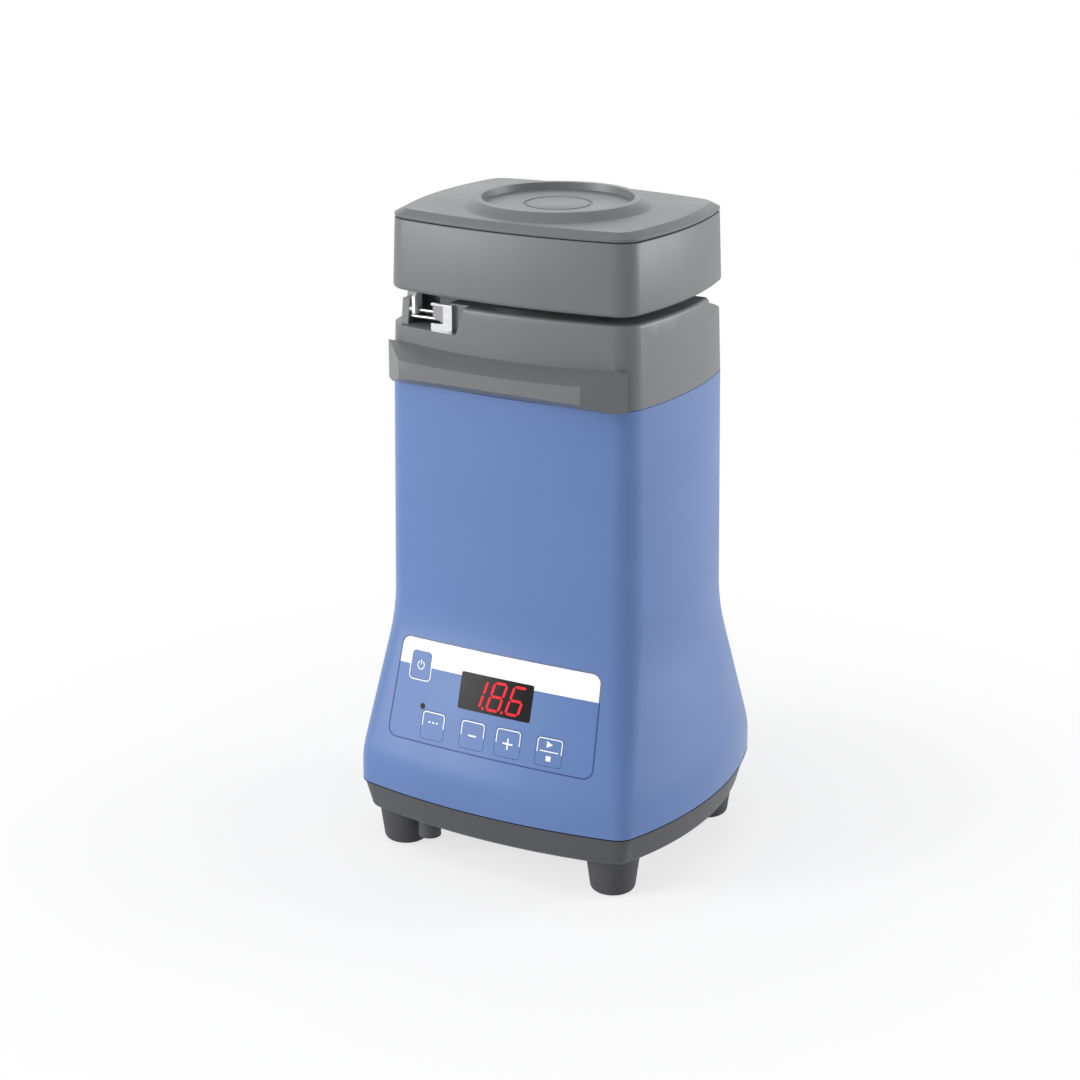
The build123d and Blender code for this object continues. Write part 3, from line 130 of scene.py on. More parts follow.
def spread(nodes, links, value, low, high):
    """Maps a noise value onto low to high."""
    remap = nodes.new("ShaderNodeMapRange")
    remap.inputs["From Min"].default_value = NOISE_LOW
    remap.inputs["From Max"].default_value = NOISE_HIGH
    remap.inputs["To Min"].default_value = low
    remap.inputs["To Max"].default_value = high
    links.new(value, remap.inputs["Value"])
    return remap.outputs["Result"]


def blend_colours(nodes, links, value, first, second):
    """The first colour where value is 0 and the second where it is 1."""
    mixer = nodes.new("ShaderNodeMix")
    mixer.data_type = "RGBA"
    sockets = [s for s in mixer.inputs if s.type == "RGBA"]
    for socket, colour in zip(sockets, (first, second)):
        if isinstance(colour, tuple):
            socket.default_value = (*colour, 1.0)
        else:
            links.new(colour, socket)
    links.new(value, mixer.inputs["Factor"])
    return next(s for s in mixer.outputs if s.type == "RGBA")


def scaled(colour, share):
    """A colour made lighter or darker."""
    return tuple(min(c * share, 1.0) for c in colour)


def bump(nodes, links, principled, value, strength, distance):
    """Lets a value raise the shader's surface."""
    node = nodes.new("ShaderNodeBump")
    node.inputs["Strength"].default_value = strength
    node.inputs["Distance"].default_value = distance
    links.new(value, node.inputs["Height"])
    links.new(node.outputs["Normal"], principled.inputs["Normal"])


def moulded(name, colour, roughness, grain=1500.0, depth=0.00006, mottle=0.04, specular=0.5):
    """Moulded plastic or rubber: fine grain, faint mottling and uneven gloss."""
    material, nodes, links, principled = shader(name)
    place = place_of(nodes, links)
    clouds = spread(nodes, links, noise(nodes, links, place, CLOUD_SCALE, 4.0), 0.0, 1.0)
    tone = blend_colours(nodes, links, clouds, scaled(colour, 1 - mottle), scaled(colour, 1 + mottle))
    links.new(tone, principled.inputs["Base Color"])
    gloss = spread(nodes, links, noise(nodes, links, place, GLOSS_SCALE, 3.0),
                   roughness - GLOSS_SWING, roughness + GLOSS_SWING)
    links.new(gloss, principled.inputs["Roughness"])
    principled.inputs["Specular IOR Level"].default_value = specular
    bump(nodes, links, principled, noise(nodes, links, place, grain), GRAIN_STRENGTH, depth)
    return material


def metal(name, colour, roughness, stretch=(1, 1, 1), scratches=900.0, depth=0.00002,
          metallic=1.0):
    """Metal, brushed along the axis with the small stretch."""
    material, nodes, links, principled = shader(name)
    place = place_of(nodes, links, stretch)
    lines = noise(nodes, links, place, scratches, 4.0)
    tone = blend_colours(nodes, links, spread(nodes, links, lines, 0.0, 1.0),
                         scaled(colour, WORN_SHARE), colour)
    links.new(tone, principled.inputs["Base Color"])
    gloss = spread(nodes, links, lines, max(roughness - BRIGHTER_SWING, LEAST_ROUGHNESS),
                   roughness + DULLER_SWING)
    links.new(gloss, principled.inputs["Roughness"])
    principled.inputs["Metallic"].default_value = metallic
    bump(nodes, links, principled, lines, SCRATCH_STRENGTH, depth)
    return material


def banded(name, dark, light, bands, axis, metallic, roughness, depth=0.0001):
    """Stacked sheet or wound wire: fine bands across one axis."""
    material, nodes, links, principled = shader(name)
    place = place_of(nodes, links)
    wave = nodes.new("ShaderNodeTexWave")
    wave.bands_direction = axis
    wave.inputs["Scale"].default_value = bands
    wave.inputs["Distortion"].default_value = BAND_WANDER
    links.new(place, wave.inputs["Vector"])
    tone = blend_colours(nodes, links, wave.outputs["Fac"], dark, light)
    links.new(tone, principled.inputs["Base Color"])
    principled.inputs["Metallic"].default_value = metallic
    principled.inputs["Roughness"].default_value = roughness
    bump(nodes, links, principled, wave.outputs["Fac"], BAND_STRENGTH, depth)
    return material


def circuit(name):
    """Lacquered circuit board with tracks."""
    material, nodes, links, principled = shader(name)
    place = place_of(nodes, links)
    cells = nodes.new("ShaderNodeTexVoronoi")
    cells.feature = "DISTANCE_TO_EDGE"
    cells.inputs["Scale"].default_value = TRACK_SCALE
    links.new(place, cells.inputs["Vector"])
    track = nodes.new("ShaderNodeMath")
    track.operation = "LESS_THAN"
    track.inputs[1].default_value = TRACK_WIDTH
    links.new(cells.outputs["Distance"], track.inputs[0])
    tone = blend_colours(nodes, links, track.outputs["Value"], BOARD_GREEN, TRACK_GREEN)
    links.new(tone, principled.inputs["Base Color"])
    principled.inputs["Roughness"].default_value = BOARD_ROUGHNESS
    bump(nodes, links, principled, track.outputs["Value"], TRACK_STRENGTH, TRACK_DEPTH)
    return material


def glowing(name, colour, strength):
    """A lit surface with faintly uneven brightness."""
    material, nodes, links, principled = shader(name)
    place = place_of(nodes, links)
    flicker = spread(nodes, links, noise(nodes, links, place, FLICKER_SCALE), 0.0, 1.0)
    tone = blend_colours(nodes, links, flicker, scaled(colour, FLICKER_SHARE), colour)
    links.new(tone, principled.inputs["Base Color"])
    links.new(tone, principled.inputs["Emission Color"])
    principled.inputs["Emission Strength"].default_value = strength
    principled.inputs["Specular IOR Level"].default_value = LIT_SPECULAR
    principled.inputs["Roughness"].default_value = LIT_ROUGHNESS
    return material


def smoked(name):
    """Glossy dark window."""
    material, nodes, links, principled = shader(name)
    place = place_of(nodes, links)
    smear = spread(nodes, links, noise(nodes, links, place, SMEAR_SCALE, 3.0), SMEAR_LOW, SMEAR_HIGH)
    links.new(smear, principled.inputs["Roughness"])
    tone = blend_colours(nodes, links, noise(nodes, links, place, TINT_SCALE), WINDOW_DARK,
                         WINDOW_LIGHT)
    links.new(tone, principled.inputs["Base Color"])
    principled.inputs["Specular IOR Level"].default_value = WINDOW_SPECULAR
    return material


# The key panel's own axes: x to the right, t up the slope from the panel's centre
BAND_HEIGHT = 0.0109
RAY_START = 0.02
key_axis = Vector(next(j["axis"] for j in frame["joints"] if j["name"] == "key_start_press"))
panel_out = -key_axis.normalized()
panel_up = panel_out.cross(Vector((1, 0, 0))).normalized()
panel_up *= math.copysign(1, panel_up.z)
panel_low, panel_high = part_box("front_panel")
panel_levels = [v.co.dot(panel_up) for v in cad_nodes["front_panel"].data.vertices]
panel_level = (min(panel_levels) + max(panel_levels)) / 2
panel_half_height = (max(panel_levels) - min(panel_levels)) / 2


def tree_of(*names):
    """Search tree over the meshes of these CAD nodes."""
    points, faces = [], []
    for name in names:
        mesh = cad_nodes[name].data
        first = len(points)
        points += [v.co.copy() for v in mesh.vertices]
        faces += [[first + i for i in p.vertices] for p in mesh.polygons]
    return BVHTree.FromPolygons(points, faces)


KEY_NAMES = ("key_power", "key_interval", "key_minus", "key_plus", "key_start")
face_tree = tree_of("front_panel", "display_window", *KEY_NAMES)
panel_origin = face_tree.ray_cast(panel_up * panel_level + panel_out, -panel_out)[0]


def on_panel(x, t, lift):
    """The point of the panel's surface at x and t, raised by lift."""
    start = panel_origin + Vector((x, 0, 0)) + panel_up * t + panel_out * RAY_START
    hit = face_tree.ray_cast(start, -panel_out)[0]
    return hit + panel_out * lift


def panel_foil(name, banded_top):
    """Satin foil, printed white down to the band's lower edge where banded_top is true."""
    material = moulded(name, PANEL_BLUE, 0.42, grain=2600.0, depth=0.00003, mottle=0.02)
    if not banded_top:
        return material
    nodes, links = material.node_tree.nodes, material.node_tree.links
    principled = nodes["Principled BSDF"]
    ground = principled.inputs["Base Color"].links[0].from_socket
    band_start = panel_origin + panel_up * (panel_half_height - BAND_HEIGHT)
    coordinate = nodes.new("ShaderNodeTexCoord")
    height = nodes.new("ShaderNodeVectorMath")
    height.operation = "DOT_PRODUCT"
    height.inputs[1].default_value = panel_up
    links.new(coordinate.outputs["Object"], height.inputs[0])
    above = nodes.new("ShaderNodeMath")
    above.operation = "GREATER_THAN"
    above.inputs[1].default_value = band_start.dot(panel_up)
    links.new(height.outputs["Value"], above.inputs[0])
    tone = blend_colours(nodes, links, above.outputs["Value"], ground, INK)
    links.new(tone, principled.inputs["Base Color"])
    return material


blue_plastic = moulded("blue_plastic", BLUE, 0.38, specular=0.5)
grey_plastic = moulded("grey_plastic", GREY, 0.40, specular=0.5)
dark_plastic = moulded("dark_plastic", DARK_GREY, 0.50, specular=0.35)
black_plastic = moulded("black_plastic", BLACK, 0.5, specular=0.3)
foot_rubber = moulded("foot_rubber", FOOT_GREY, 0.72, grain=900.0, depth=0.0001, specular=0.3)
seal_rubber = moulded("seal_rubber", scaled(BLACK, 1.6), 0.75, grain=900.0, specular=0.3)
carbon = moulded("carbon", scaled(BLACK, 1.4), 0.6, grain=3000.0)
ink_white = moulded("ink_white", INK, 0.45, grain=2600.0, depth=0.00001, mottle=0.02)
foil = panel_foil("panel_foil", True)
key_foil = panel_foil("key_foil", False)
dark_window = smoked("dark_window")
# Painted shade: navy lines for the gap round the key panel and the joint under the collar
navy_painted_shade = moulded("navy_painted_shade", NAVY, 0.5, grain=2600.0, depth=0.00001)
# Painted shadow: near-black bands for the gaps of the seams at the foot of the housing and on the lid
seam_shadow = moulded("seam_shadow", SEAM_DARK, 0.8, specular=0.1)
led_red = glowing("led_red", LED_RED, 0.55)
bright_steel = metal("bright_steel", (0.82, 0.83, 0.85), 0.12, scratches=500.0, depth=0.000004)
# Painted light: nearly white and hardly metallic, so the hook looks bright even on its shaded face
hook_steel_painted_light = metal("hook_steel_painted_light", (0.88, 0.89, 0.90), 0.34, scratches=500.0, depth=0.000004,
                   metallic=0.12)
# Painted shade: a dark, less metallic copy of the bracket's steel for its inner wall behind the window
cheek_steel_painted_shade = metal("cheek_steel_painted_shade", (0.30, 0.29, 0.31), 0.40, scratches=500.0, depth=0.000004,
                    metallic=0.6)
stainless = metal("stainless", (0.66, 0.67, 0.68), 0.28, stretch=(1, 1, 0.08), depth=0.000003)
zinc_steel = metal("zinc_steel", (0.52, 0.53, 0.55), 0.38)
cast_alloy = metal("cast_alloy", (0.55, 0.56, 0.57), 0.55, scratches=350.0, depth=0.0001)
brass = metal("brass", (0.72, 0.55, 0.26), 0.30)
lamination = banded("lamination", (0.10, 0.10, 0.105), (0.26, 0.26, 0.27), 320.0, "Z", 0.9, 0.45)
winding = banded("winding", (0.30, 0.10, 0.035), (0.62, 0.26, 0.10), 260.0, "Z", 0.85, 0.35)
comm_copper = banded("comm_copper", (0.45, 0.20, 0.09), (0.70, 0.36, 0.18), 90.0, "Z", 1.0, 0.3)
board = circuit("board")

SLOT_MATERIALS = {
    "blue_plastic": blue_plastic, "grey_plastic": grey_plastic, "dark_plastic": dark_plastic,
    "foot_rubber": foot_rubber, "seal_rubber": seal_rubber, "black_plastic": black_plastic,
    "panel_foil": key_foil, "dark_window": dark_window, "bright_steel": bright_steel,
    "stainless": stainless, "steel": zinc_steel, "cast_alloy": cast_alloy, "lamination": lamination,
    "copper": winding, "brass": brass, "carbon": carbon, "circuit_board": board,
}
NODE_MATERIALS = {"front_panel": foil, "commutator": comm_copper, "latch_hook": hook_steel_painted_light,
                  "latch_pivot_pin": zinc_steel, "latch_stop_pin": zinc_steel}

# Width of the rounded edges on the outer pieces
EDGE_ROUNDS = {
    "lid_skirt": 0.0003, "lid_cap": 0.0004, "collar": 0.0008, "base_pan": 0.0003,
    "latch_bracket": 0.0002, "latch_hook": 0.00012, "mains_inlet": 0.0003,
}
ROUND_SEGMENTS = 2
SMOOTH_ANGLE = math.radians(16)
BEVEL_ANGLE = math.radians(28)
WELD_DISTANCE = 0.000002


def dress(name, node, slot_name):
    """Gives a CAD node its material, smooth shading on curved faces and crisp or rounded edges."""
    node.data.materials.clear()
    node.data.materials.append(NODE_MATERIALS.get(name, SLOT_MATERIALS[slot_name]))
    node.data.polygons.foreach_set("use_smooth", [True] * len(node.data.polygons))
    weld = node.modifiers.new("weld", "WELD")
    weld.merge_threshold = WELD_DISTANCE
    if name in EDGE_ROUNDS:
        rounding = node.modifiers.new("edge_rounds", "BEVEL")
        rounding.width = EDGE_ROUNDS[name]
        rounding.segments = ROUND_SEGMENTS
        rounding.limit_method = "ANGLE"
        rounding.angle_limit = BEVEL_ANGLE
        rounding.use_clamp_overlap = True
    split = node.modifiers.new("crisp_edges", "EDGE_SPLIT")
    split.split_angle = SMOOTH_ANGLE


for entry in frame["record"]["subparts"]:
    dress(entry["node"], cad_nodes[entry["node"]], entry["material_slot"])


# Printed lines and symbols: thin inked ribbons that follow the panel's surface; the same ribbons also paint shade
# round the panel's edge

INK_LIFT = 0.00005
INK_SINK = 0.00003
INK_STEP = 0.0006
INK_WIDTH = 0.00040


def new_piece(name, points, faces, material, body):
    """A mesh piece that rides on a body."""
    mesh = bpy.data.meshes.new(name)
    mesh.from_pydata(points, [], faces)
    mesh.update()
    piece = bpy.data.objects.new(name, mesh)
    bpy.context.scene.collection.objects.link(piece)
    mesh.materials.append(material)
    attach(piece, body)
    return piece


def resampled(path, step):
    """The same path with points about step apart."""
    points = [Vector(path[0])]
    for a, b in zip(path, path[1:]):
        a, b = Vector(a), Vector(b)
        count = max(1, round((b - a).length / step))
        points += [a.lerp(b, i / count) for i in range(1, count + 1)]
    return points


def ribbon(points, width):
    """Left and right edges of a flat ribbon along a path on the panel."""
    left, right = [], []
    for i, point in enumerate(points):
        before, after = points[max(i - 1, 0)], points[min(i + 1, len(points) - 1)]
        along = (after - before).normalized()
        side = Vector((-along.y, along.x)) * width / 2
        left.append(point + side)
        right.append(point - side)
    return left, right


def slab(rows, lift, sink):
    """Points and faces of a thin closed slab over rows of panel places, all of one length."""
    top = [on_panel(p.x, p.y, lift) for row in rows for p in row]
    bottom = [on_panel(p.x, p.y, -sink) for row in rows for p in row]
    points = top + bottom
    width, count = len(rows[0]), len(rows)
    under = len(top)
    faces = []
    for r in range(count - 1):
        for c in range(width - 1):
            a, b = r * width + c, r * width + c + 1
            d, e = (r + 1) * width + c, (r + 1) * width + c + 1
            faces += [(a, d, e, b), (under + a, under + b, under + e, under + d)]
    rim = list(range(width))
    rim += [r * width + width - 1 for r in range(1, count)]
    rim += [(count - 1) * width + c for c in range(width - 2, -1, -1)]
    rim += [r * width for r in range(count - 2, 0, -1)]
    for i, a in enumerate(rim):
        b = rim[(i + 1) % len(rim)]
        faces.append((a, b, under + b, under + a))
    return points, faces


def print_or_shade_line(name, path, body, width=INK_WIDTH, ink_or_shade=ink_white):
    """A printed line, or a line of painted shade, along path, which lists x and t."""
    left, right = ribbon(resampled(path, INK_STEP), width)
    points, faces = slab([list(pair) for pair in zip(left, right)], INK_LIFT, INK_SINK)
    new_piece(name, points, faces, ink_or_shade, body)


def arc(centre, radius, start, end, steps=8):
    """Points of an arc from start to end, in degrees."""
    angles = [math.radians(start + (end - start) * i / steps) for i in range(steps + 1)]
    return [(centre[0] + radius * math.cos(a), centre[1] + radius * math.sin(a)) for a in angles]


def key_place(name):
    """Middle and half sizes of a key on the panel, from its CAD box."""
    low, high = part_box(name)
    x = (low.x + high.x) / 2
    corners = [v.co for v in cad_nodes[name].data.vertices]
    ts = [(c - panel_origin).dot(panel_up) for c in corners]
    return x, (min(ts) + max(ts)) / 2, (high.x - low.x) / 2, (max(ts) - min(ts)) / 2


OUTLINE_INSET = 0.00045
OUTLINE_DROP = 0.0055
OUTLINE_CORNER = 0.0012


def key_outline(name):
    """An arch round the upper part of a key."""
    x, t, half_width, half_height = key_place(name)
    side, top = half_width - OUTLINE_INSET, t + half_height - OUTLINE_INSET
    r = OUTLINE_CORNER
    path = [(x - side, top - OUTLINE_DROP)]
    path += arc((x - side + r, top - r), r, 180, 90)
    path += arc((x + side - r, top - r), r, 90, 0)
    path.append((x + side, top - OUTLINE_DROP))
    print_or_shade_line(name + "_outline", path, name)


for key in KEY_NAMES[1:]:
    key_outline(key)

SIGN_HALF = 0.0022
MINUS_HALF = 0.0018
SIGN_WIDTH = 0.00062
SIGN_RISE = -0.0003


def sign_line(name, key, start, end, width=SIGN_WIDTH):
    """A straight stroke on a key, between two places counted from the key's middle."""
    x, t = key_place(key)[:2]
    print_or_shade_line(name, [(x + start[0], t + start[1]), (x + end[0], t + end[1])], key, width)


sign_line("minus_sign", "key_minus", (-MINUS_HALF, SIGN_RISE), (MINUS_HALF, SIGN_RISE))
sign_line("plus_sign_level", "key_plus", (-SIGN_HALF, SIGN_RISE), (SIGN_HALF, SIGN_RISE))
for side, way in (("upper", 1), ("lower", -1)):
    sign_line(f"plus_sign_{side}", "key_plus", (0, SIGN_RISE + way * SIGN_WIDTH / 2),
              (0, SIGN_RISE + way * SIGN_HALF))
UNDERLINE_HALF = 0.0039
UNDERLINE_RISE = 0.0001
sign_line("start_underline", "key_start", (-UNDERLINE_HALF, UNDERLINE_RISE),
          (UNDERLINE_HALF, UNDERLINE_RISE), INK_WIDTH)


FILL_CELLS = 3


def filled(name, corners, body, material=ink_white):
    """A printed filled shape with three or four corners, as x and t."""
    a, b, c, d = [Vector(p) for p in (*corners, *corners[-1:])[:4]]
    rows = []
    for i in range(FILL_CELLS + 1):
        start, end = a.lerp(d, i / FILL_CELLS), b.lerp(c, i / FILL_CELLS)
        rows.append([start.lerp(end, j / FILL_CELLS) for j in range(FILL_CELLS + 1)])
    points, faces = slab(rows, INK_LIFT, INK_SINK)
    new_piece(name, points, faces, material, body)


def square(x, t, half):
    """Corners of a square round x and t."""
    return [(x - half, t + half), (x - half, t - half), (x + half, t - half), (x + half, t + half)]


# Start and stop signs above and below the line, and dashes for the interval key
ICON = 0.0013
start_x, start_t = key_place("key_start")[:2]
ICON_RISE = 0.0027
icon_t = start_t + UNDERLINE_RISE + ICON_RISE
filled("start_sign", [(start_x - ICON, icon_t + ICON), (start_x - ICON, icon_t - ICON),
                      (start_x + ICON, icon_t)], "key_start")
stop_t = start_t + UNDERLINE_RISE - ICON_RISE
SQUARE = 0.0010
filled("stop_sign", square(start_x, stop_t, SQUARE), "key_start")
DASH = 0.0009
DASH_RISE = 0.0012
for i, offset in enumerate((-2, 0, 2)):
    sign_line(f"interval_dash_{i}", "key_interval", ((offset - 0.5) * DASH, DASH_RISE),
              ((offset + 0.5) * DASH, DASH_RISE))

# Power key: its sign, and the printed line round it below the white band
power_x, power_t, power_half_width, power_half_height = key_place("key_power")
POWER_RING = 0.0016
POWER_OPEN = 28
POWER_WIDTH = 0.00036
POWER_STEPS = 28
STEM_FOOT = 0.15 * POWER_RING
STEM_TOP = 1.35 * POWER_RING
ring = arc((power_x, power_t), POWER_RING, 90 + POWER_OPEN, 450 - POWER_OPEN, POWER_STEPS)
print_or_shade_line("power_ring", ring, "key_power", POWER_WIDTH)
sign_line("power_stem", "key_power", (0, STEM_FOOT), (0, STEM_TOP), POWER_WIDTH)
FRAME_GAP = 0.00045
FRAME_CORNER = 0.0018
frame_side = power_half_width + FRAME_GAP
frame_foot = power_t - power_half_height - FRAME_GAP
band_foot = panel_half_height - BAND_HEIGHT
arc_x = frame_side - FRAME_CORNER
arc_t = frame_foot + FRAME_CORNER
path = [(power_x - frame_side, band_foot)]
path += arc((power_x - arc_x, arc_t), FRAME_CORNER, 180, 270)
path += arc((power_x + arc_x, arc_t), FRAME_CORNER, 270, 360)
path.append((power_x + frame_side, band_foot))
print_or_shade_line("power_frame", path, "base")

# Painted shade: a dark line round the panel's edge, where the narrow gap round the panel lies in shade; the
# panel's corner radius and how much each side narrows upwards
EDGE_INSET = 0.00022
EDGE_WIDTH = 0.00034
PANEL_CORNER = 0.004
PANEL_NARROWING = 0.00175
panel_x = (panel_low.x + panel_high.x) / 2
edge_foot_half = (panel_high.x - panel_low.x) / 2 - EDGE_INSET
edge_top_half = edge_foot_half - PANEL_NARROWING * (1 - PANEL_CORNER / panel_half_height)
edge_rise = panel_half_height - EDGE_INSET
edge_corner = PANEL_CORNER - EDGE_INSET
path = []
for turn, side, half, level in ((0, 1, edge_top_half, 1), (90, -1, edge_top_half, 1),
                                (180, -1, edge_foot_half, -1), (270, 1, edge_foot_half, -1)):
    corner = (panel_x + side * (half - edge_corner), level * (edge_rise - edge_corner))
    path += arc(corner, edge_corner, turn, turn + 90)
path.append(path[0])
print_or_shade_line("panel_edge_shade_line", path, "base", EDGE_WIDTH, navy_painted_shade)

# Display: three slanted seven-segment figures on the window's face
DIGIT_HEIGHT = 0.0109
DIGIT_WIDTH = 0.0053
DIGIT_PITCH = 0.00855
DIGIT_SLANT = 0.0027
DIGIT_FOOT = -0.0016
SEGMENT_WIDTH = 0.00095
SEGMENT_GAP = 0.00034
TIP_SHARE = 0.2
LAST_DIGIT_X = 0.0091
DOT_AHEAD = 0.0017
SEGMENTS = {
    "a": ((0, 1), (1, 1)), "b": ((1, 1), (1, 0.5)), "c": ((1, 0.5), (1, 0)), "d": ((0, 0), (1, 0)),
    "e": ((0, 0.5), (0, 0)), "f": ((0, 1), (0, 0.5)), "g": ((0, 0.5), (1, 0.5)),
}
LIT = (("one", "bc"), ("eight", "abcdefg"), ("six", "acdefg"))


def digit_place(left, across, up):
    """Panel place for a share across and up a figure whose foot starts at left."""
    return Vector((left + across * DIGIT_WIDTH + up * DIGIT_SLANT, DIGIT_FOOT + up * DIGIT_HEIGHT))


def segment(name, left, ends):
    """One lit bar with narrow ends."""
    start, end = digit_place(left, *ends[0]), digit_place(left, *ends[1])
    along = (end - start).normalized()
    side = Vector((-along.y, along.x)) * SEGMENT_WIDTH / 2
    start, end = start + along * SEGMENT_GAP, end - along * SEGMENT_GAP
    inner_start, inner_end = start + along * SEGMENT_WIDTH / 2, end - along * SEGMENT_WIDTH / 2
    tip = side * TIP_SHARE
    rows = [[start + tip, start - tip], [inner_start + side, inner_start - side],
            [inner_end + side, inner_end - side], [end + tip, end - tip]]
    points, faces = slab(rows, INK_LIFT, INK_SINK)
    new_piece(name, points, faces, led_red, "base")


for place, (digit, lit) in enumerate(LIT):
    left = LAST_DIGIT_X - DIGIT_WIDTH / 2 - (len(LIT) - 1 - place) * DIGIT_PITCH
    for letter in lit:
        segment(f"digit_{digit}_{letter}", left, SEGMENTS[letter])
    if place < len(LIT) - 1:
        dot = digit_place(left, 1, 0) + Vector((DOT_AHEAD, 0))
        filled(f"digit_{digit}_dot", square(dot.x, dot.y, SEGMENT_WIDTH / 2), "base", led_red)


# Painted shadow in the seams between the mouldings: thin dark bands that lie on the outside at one height

SEAM_TURNS = 360
SEAM_LIFT = 0.00006
SEAM_SINK = 0.0004
SEAM_SPLIT_ANGLE = math.radians(40)


def seam(name, node_name, height, width, material, body):
    """A closed band round a CAD node at one height, as wide as width."""
    tree = tree_of(node_name)
    points, faces = [], []
    for i in range(SEAM_TURNS):
        angle = math.tau * i / SEAM_TURNS
        outward = Vector((math.cos(angle), math.sin(angle), 0))
        hit = tree.ray_cast(outward + Vector((0, 0, height)), -outward)[0]
        for depth in (SEAM_LIFT, -SEAM_SINK):
            for level in (-width / 2, width / 2):
                place = hit + outward * depth
                points.append((place.x, place.y, height + level))
        a, b = 4 * i, 4 * ((i + 1) % SEAM_TURNS)
        faces += [(a, b, b + 1, a + 1), (a + 1, b + 1, b + 3, a + 3),
                  (a + 3, b + 3, b + 2, a + 2), (a + 2, b + 2, b, a)]
    piece = new_piece(name, points, faces, material, body)
    piece.data.polygons.foreach_set("use_smooth", [True] * len(piece.data.polygons))
    split = piece.modifiers.new("crisp_edges", "EDGE_SPLIT")
    split.split_angle = SEAM_SPLIT_ANGLE


SEAM_WIDTH = 0.0004
LID_SEAM_WIDTH = 0.00032
housing_low, housing_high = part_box("housing")
seam("housing_foot_seam", "housing", housing_low.z + SEAM_WIDTH / 2, SEAM_WIDTH, seam_shadow,
     "base")
# Painted shade in navy along the joint under the collar
seam("housing_neck_seam", "housing", housing_high.z - SEAM_WIDTH / 2, SEAM_WIDTH, navy_painted_shade, "base")
skirt_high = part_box("lid_skirt")[1]
seam("lid_seam", "lid_skirt", skirt_high.z - LID_SEAM_WIDTH / 2, LID_SEAM_WIDTH, seam_shadow, "lid")


# Latch: the leaning inner wall of the polished bracket, seen through its window, darkened as painted shade
CHEEK_THICKNESS = 0.0004
CHEEK_LEAN = 0.0066
CHEEK_DEPTH = 0.0020
CHEEK_NARROWING = 0.0012
CHEEK_CLEARANCE = 0.0002

# The CAD bracket's sheet, and the bar and sill beside its window
BRACKET_THICKNESS = 0.0012
BRACKET_BAR = 0.0039
BRACKET_SILL = 0.0027
BRACKET_WINDOW = 0.0068


def add_bracket_cheek():
    """A thin plate from the window's right edge, leaning in behind the window."""
    low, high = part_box("latch_bracket")
    right, front = high.x - BRACKET_BAR, low.y + BRACKET_THICKNESS + CHEEK_CLEARANCE
    z_foot = low.z + BRACKET_SILL
    z_top = z_foot + BRACKET_WINDOW
    profile = [(right, front, z_foot), (right, front, z_top),
               (right - CHEEK_LEAN, front + CHEEK_DEPTH, z_top - CHEEK_NARROWING),
               (right - CHEEK_LEAN, front + CHEEK_DEPTH, z_foot + CHEEK_NARROWING)]
    behind = Vector((CHEEK_DEPTH, CHEEK_LEAN, 0)).normalized() * CHEEK_THICKNESS
    points = [Vector(p) for p in profile] + [Vector(p) + behind for p in profile]
    faces = [(0, 1, 2, 3), (7, 6, 5, 4), (0, 4, 5, 1), (1, 5, 6, 2), (2, 6, 7, 3), (3, 7, 4, 0)]
    new_piece("bracket_cheek", points, faces, cheek_steel_painted_shade, "base")


add_bracket_cheek()


# Floor, lights and camera

FLOOR_HALF = 6.0
FLOOR_COLOUR = (0.90, 0.90, 0.90)
FLOOR_PATCH_SHARE = 0.985
FLOOR_PATCH_SCALE = 3.0
FLOOR_ROUGHNESS = 0.9
FLOOR_SPECULAR = 0.1

# Share of plain white in the floor near the part, and the distances between which it grows to 1
FLOOR_LIFT = 0.72
FLOOR_NEAR = 0.08
FLOOR_FAR = 0.34

WORLD_LIGHT = 0.36
WORLD_TINT = (0.93, 0.95, 1.0, 1.0)
WHITE = (1.0, 1.0, 1.0, 1.0)

# Name, place, width, height and power of each lamp; all point at one place
LAMP_TARGET = Vector((0, 0, 0.13))
LAMPS = (
    ("key_lamp", (-1.05, -1.2, 0.62), 0.8, 0.9, 20),
    ("right_lamp", (1.25, 0.95, 0.45), 0.9, 0.8, 16.5),
    ("back_lamp", (-0.75, 1.35, 0.75), 1.2, 0.6, 2),
    ("top_lamp", (0.0, -0.5, 1.6), 1.0, 1.0, 6),
)


def lamp(name, place, width, height, power):
    """A rectangular lamp that points at the part."""
    data = bpy.data.lights.new(name, "AREA")
    data.shape = "RECTANGLE"
    data.size, data.size_y = width, height
    data.energy = power
    holder = bpy.data.objects.new(name, data)
    bpy.context.scene.collection.objects.link(holder)
    holder.location = place
    holder.rotation_mode = "QUATERNION"
    holder.rotation_quaternion = (LAMP_TARGET - Vector(place)).to_track_quat("-Z", "Y")


def backdrop_share(nodes, links):
    """1 for rays from the camera, a mirror or clear material, which see white, and 0 for light."""
    path = nodes.new("ShaderNodeLightPath")
    total = path.outputs["Is Camera Ray"]
    for ray in ("Is Glossy Ray", "Is Transmission Ray"):
        joined = nodes.new("ShaderNodeMath")
        joined.operation = "MAXIMUM"
        links.new(total, joined.inputs[0])
        links.new(path.outputs[ray], joined.inputs[1])
        total = joined.outputs["Value"]
    return total


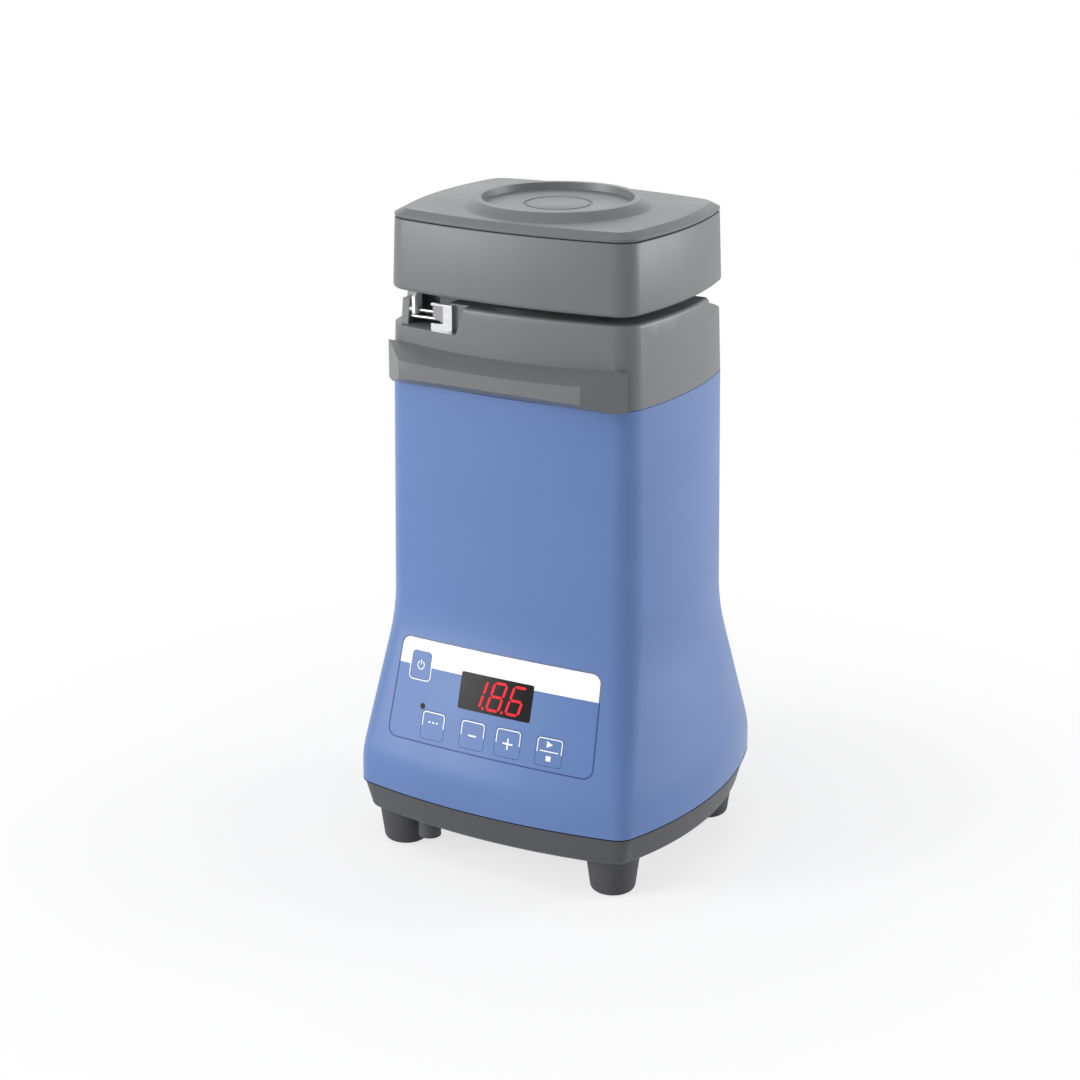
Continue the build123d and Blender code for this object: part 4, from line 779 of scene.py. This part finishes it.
def add_floor():
    """A pale floor that keeps the part's shadow and fades to plain white."""
    mesh = bpy.data.meshes.new("floor")
    h = FLOOR_HALF
    mesh.from_pydata([(-h, -h, 0), (h, -h, 0), (h, h, 0), (-h, h, 0)], [], [(0, 1, 2, 3)])
    floor = bpy.data.objects.new("floor", mesh)
    bpy.context.scene.collection.objects.link(floor)
    material, nodes, links, principled = shader("floor")
    place = place_of(nodes, links)
    tone = blend_colours(nodes, links, noise(nodes, links, place, FLOOR_PATCH_SCALE),
                         scaled(FLOOR_COLOUR, FLOOR_PATCH_SHARE), FLOOR_COLOUR)
    links.new(tone, principled.inputs["Base Color"])
    principled.inputs["Roughness"].default_value = FLOOR_ROUGHNESS
    principled.inputs["Specular IOR Level"].default_value = FLOOR_SPECULAR
    distance = nodes.new("ShaderNodeVectorMath")
    distance.operation = "LENGTH"
    links.new(place, distance.inputs[0])
    fade = nodes.new("ShaderNodeMapRange")
    fade.interpolation_type = "SMOOTHSTEP"
    fade.inputs["From Min"].default_value = FLOOR_NEAR
    fade.inputs["From Max"].default_value = FLOOR_FAR
    fade.inputs["To Min"].default_value = FLOOR_LIFT
    links.new(distance.outputs["Value"], fade.inputs["Value"])
    seen = nodes.new("ShaderNodeMath")
    seen.operation = "MULTIPLY"
    links.new(fade.outputs["Result"], seen.inputs[0])
    links.new(backdrop_share(nodes, links), seen.inputs[1])
    white = nodes.new("ShaderNodeEmission")
    mixer = nodes.new("ShaderNodeMixShader")
    links.new(seen.outputs["Value"], mixer.inputs["Fac"])
    links.new(principled.outputs["BSDF"], mixer.inputs[1])
    links.new(white.outputs["Emission"], mixer.inputs[2])
    links.new(mixer.outputs["Shader"], nodes["Material Output"].inputs["Surface"])
    mesh.materials.append(material)


def add_world():
    """Soft white surroundings, seen as plain white by the camera and in reflections."""
    world = bpy.data.worlds.new("studio")
    bpy.context.scene.world = world
    world.use_nodes = True
    nodes, links = world.node_tree.nodes, world.node_tree.links
    surroundings = nodes["Background"]
    surroundings.inputs["Color"].default_value = WORLD_TINT
    surroundings.inputs["Strength"].default_value = WORLD_LIGHT
    seen = nodes.new("ShaderNodeBackground")
    seen.inputs["Color"].default_value = WHITE
    mixer = nodes.new("ShaderNodeMixShader")
    links.new(backdrop_share(nodes, links), mixer.inputs["Fac"])
    links.new(surroundings.outputs["Background"], mixer.inputs[1])
    links.new(seen.outputs["Background"], mixer.inputs[2])
    links.new(mixer.outputs["Shader"], nodes["World Output"].inputs["Surface"])


def add_camera():
    """The photograph's camera."""
    data = bpy.data.cameras.new("camera")
    data.lens = CAMERA_LENS
    data.sensor_width = CAMERA_SENSOR
    data.shift_x = CAMERA_SHIFT_X
    camera = bpy.data.objects.new("camera", data)
    bpy.context.scene.collection.objects.link(camera)
    camera.location = CAMERA_PLACE
    camera.rotation_euler = (math.radians(90 - CAMERA_TILT), 0, math.radians(CAMERA_TURN))
    bpy.context.scene.camera = camera


add_floor()
add_world()
add_camera()
for lamp_values in LAMPS:
    lamp(*lamp_values)

bpy.context.scene.view_settings.view_transform = "Standard"
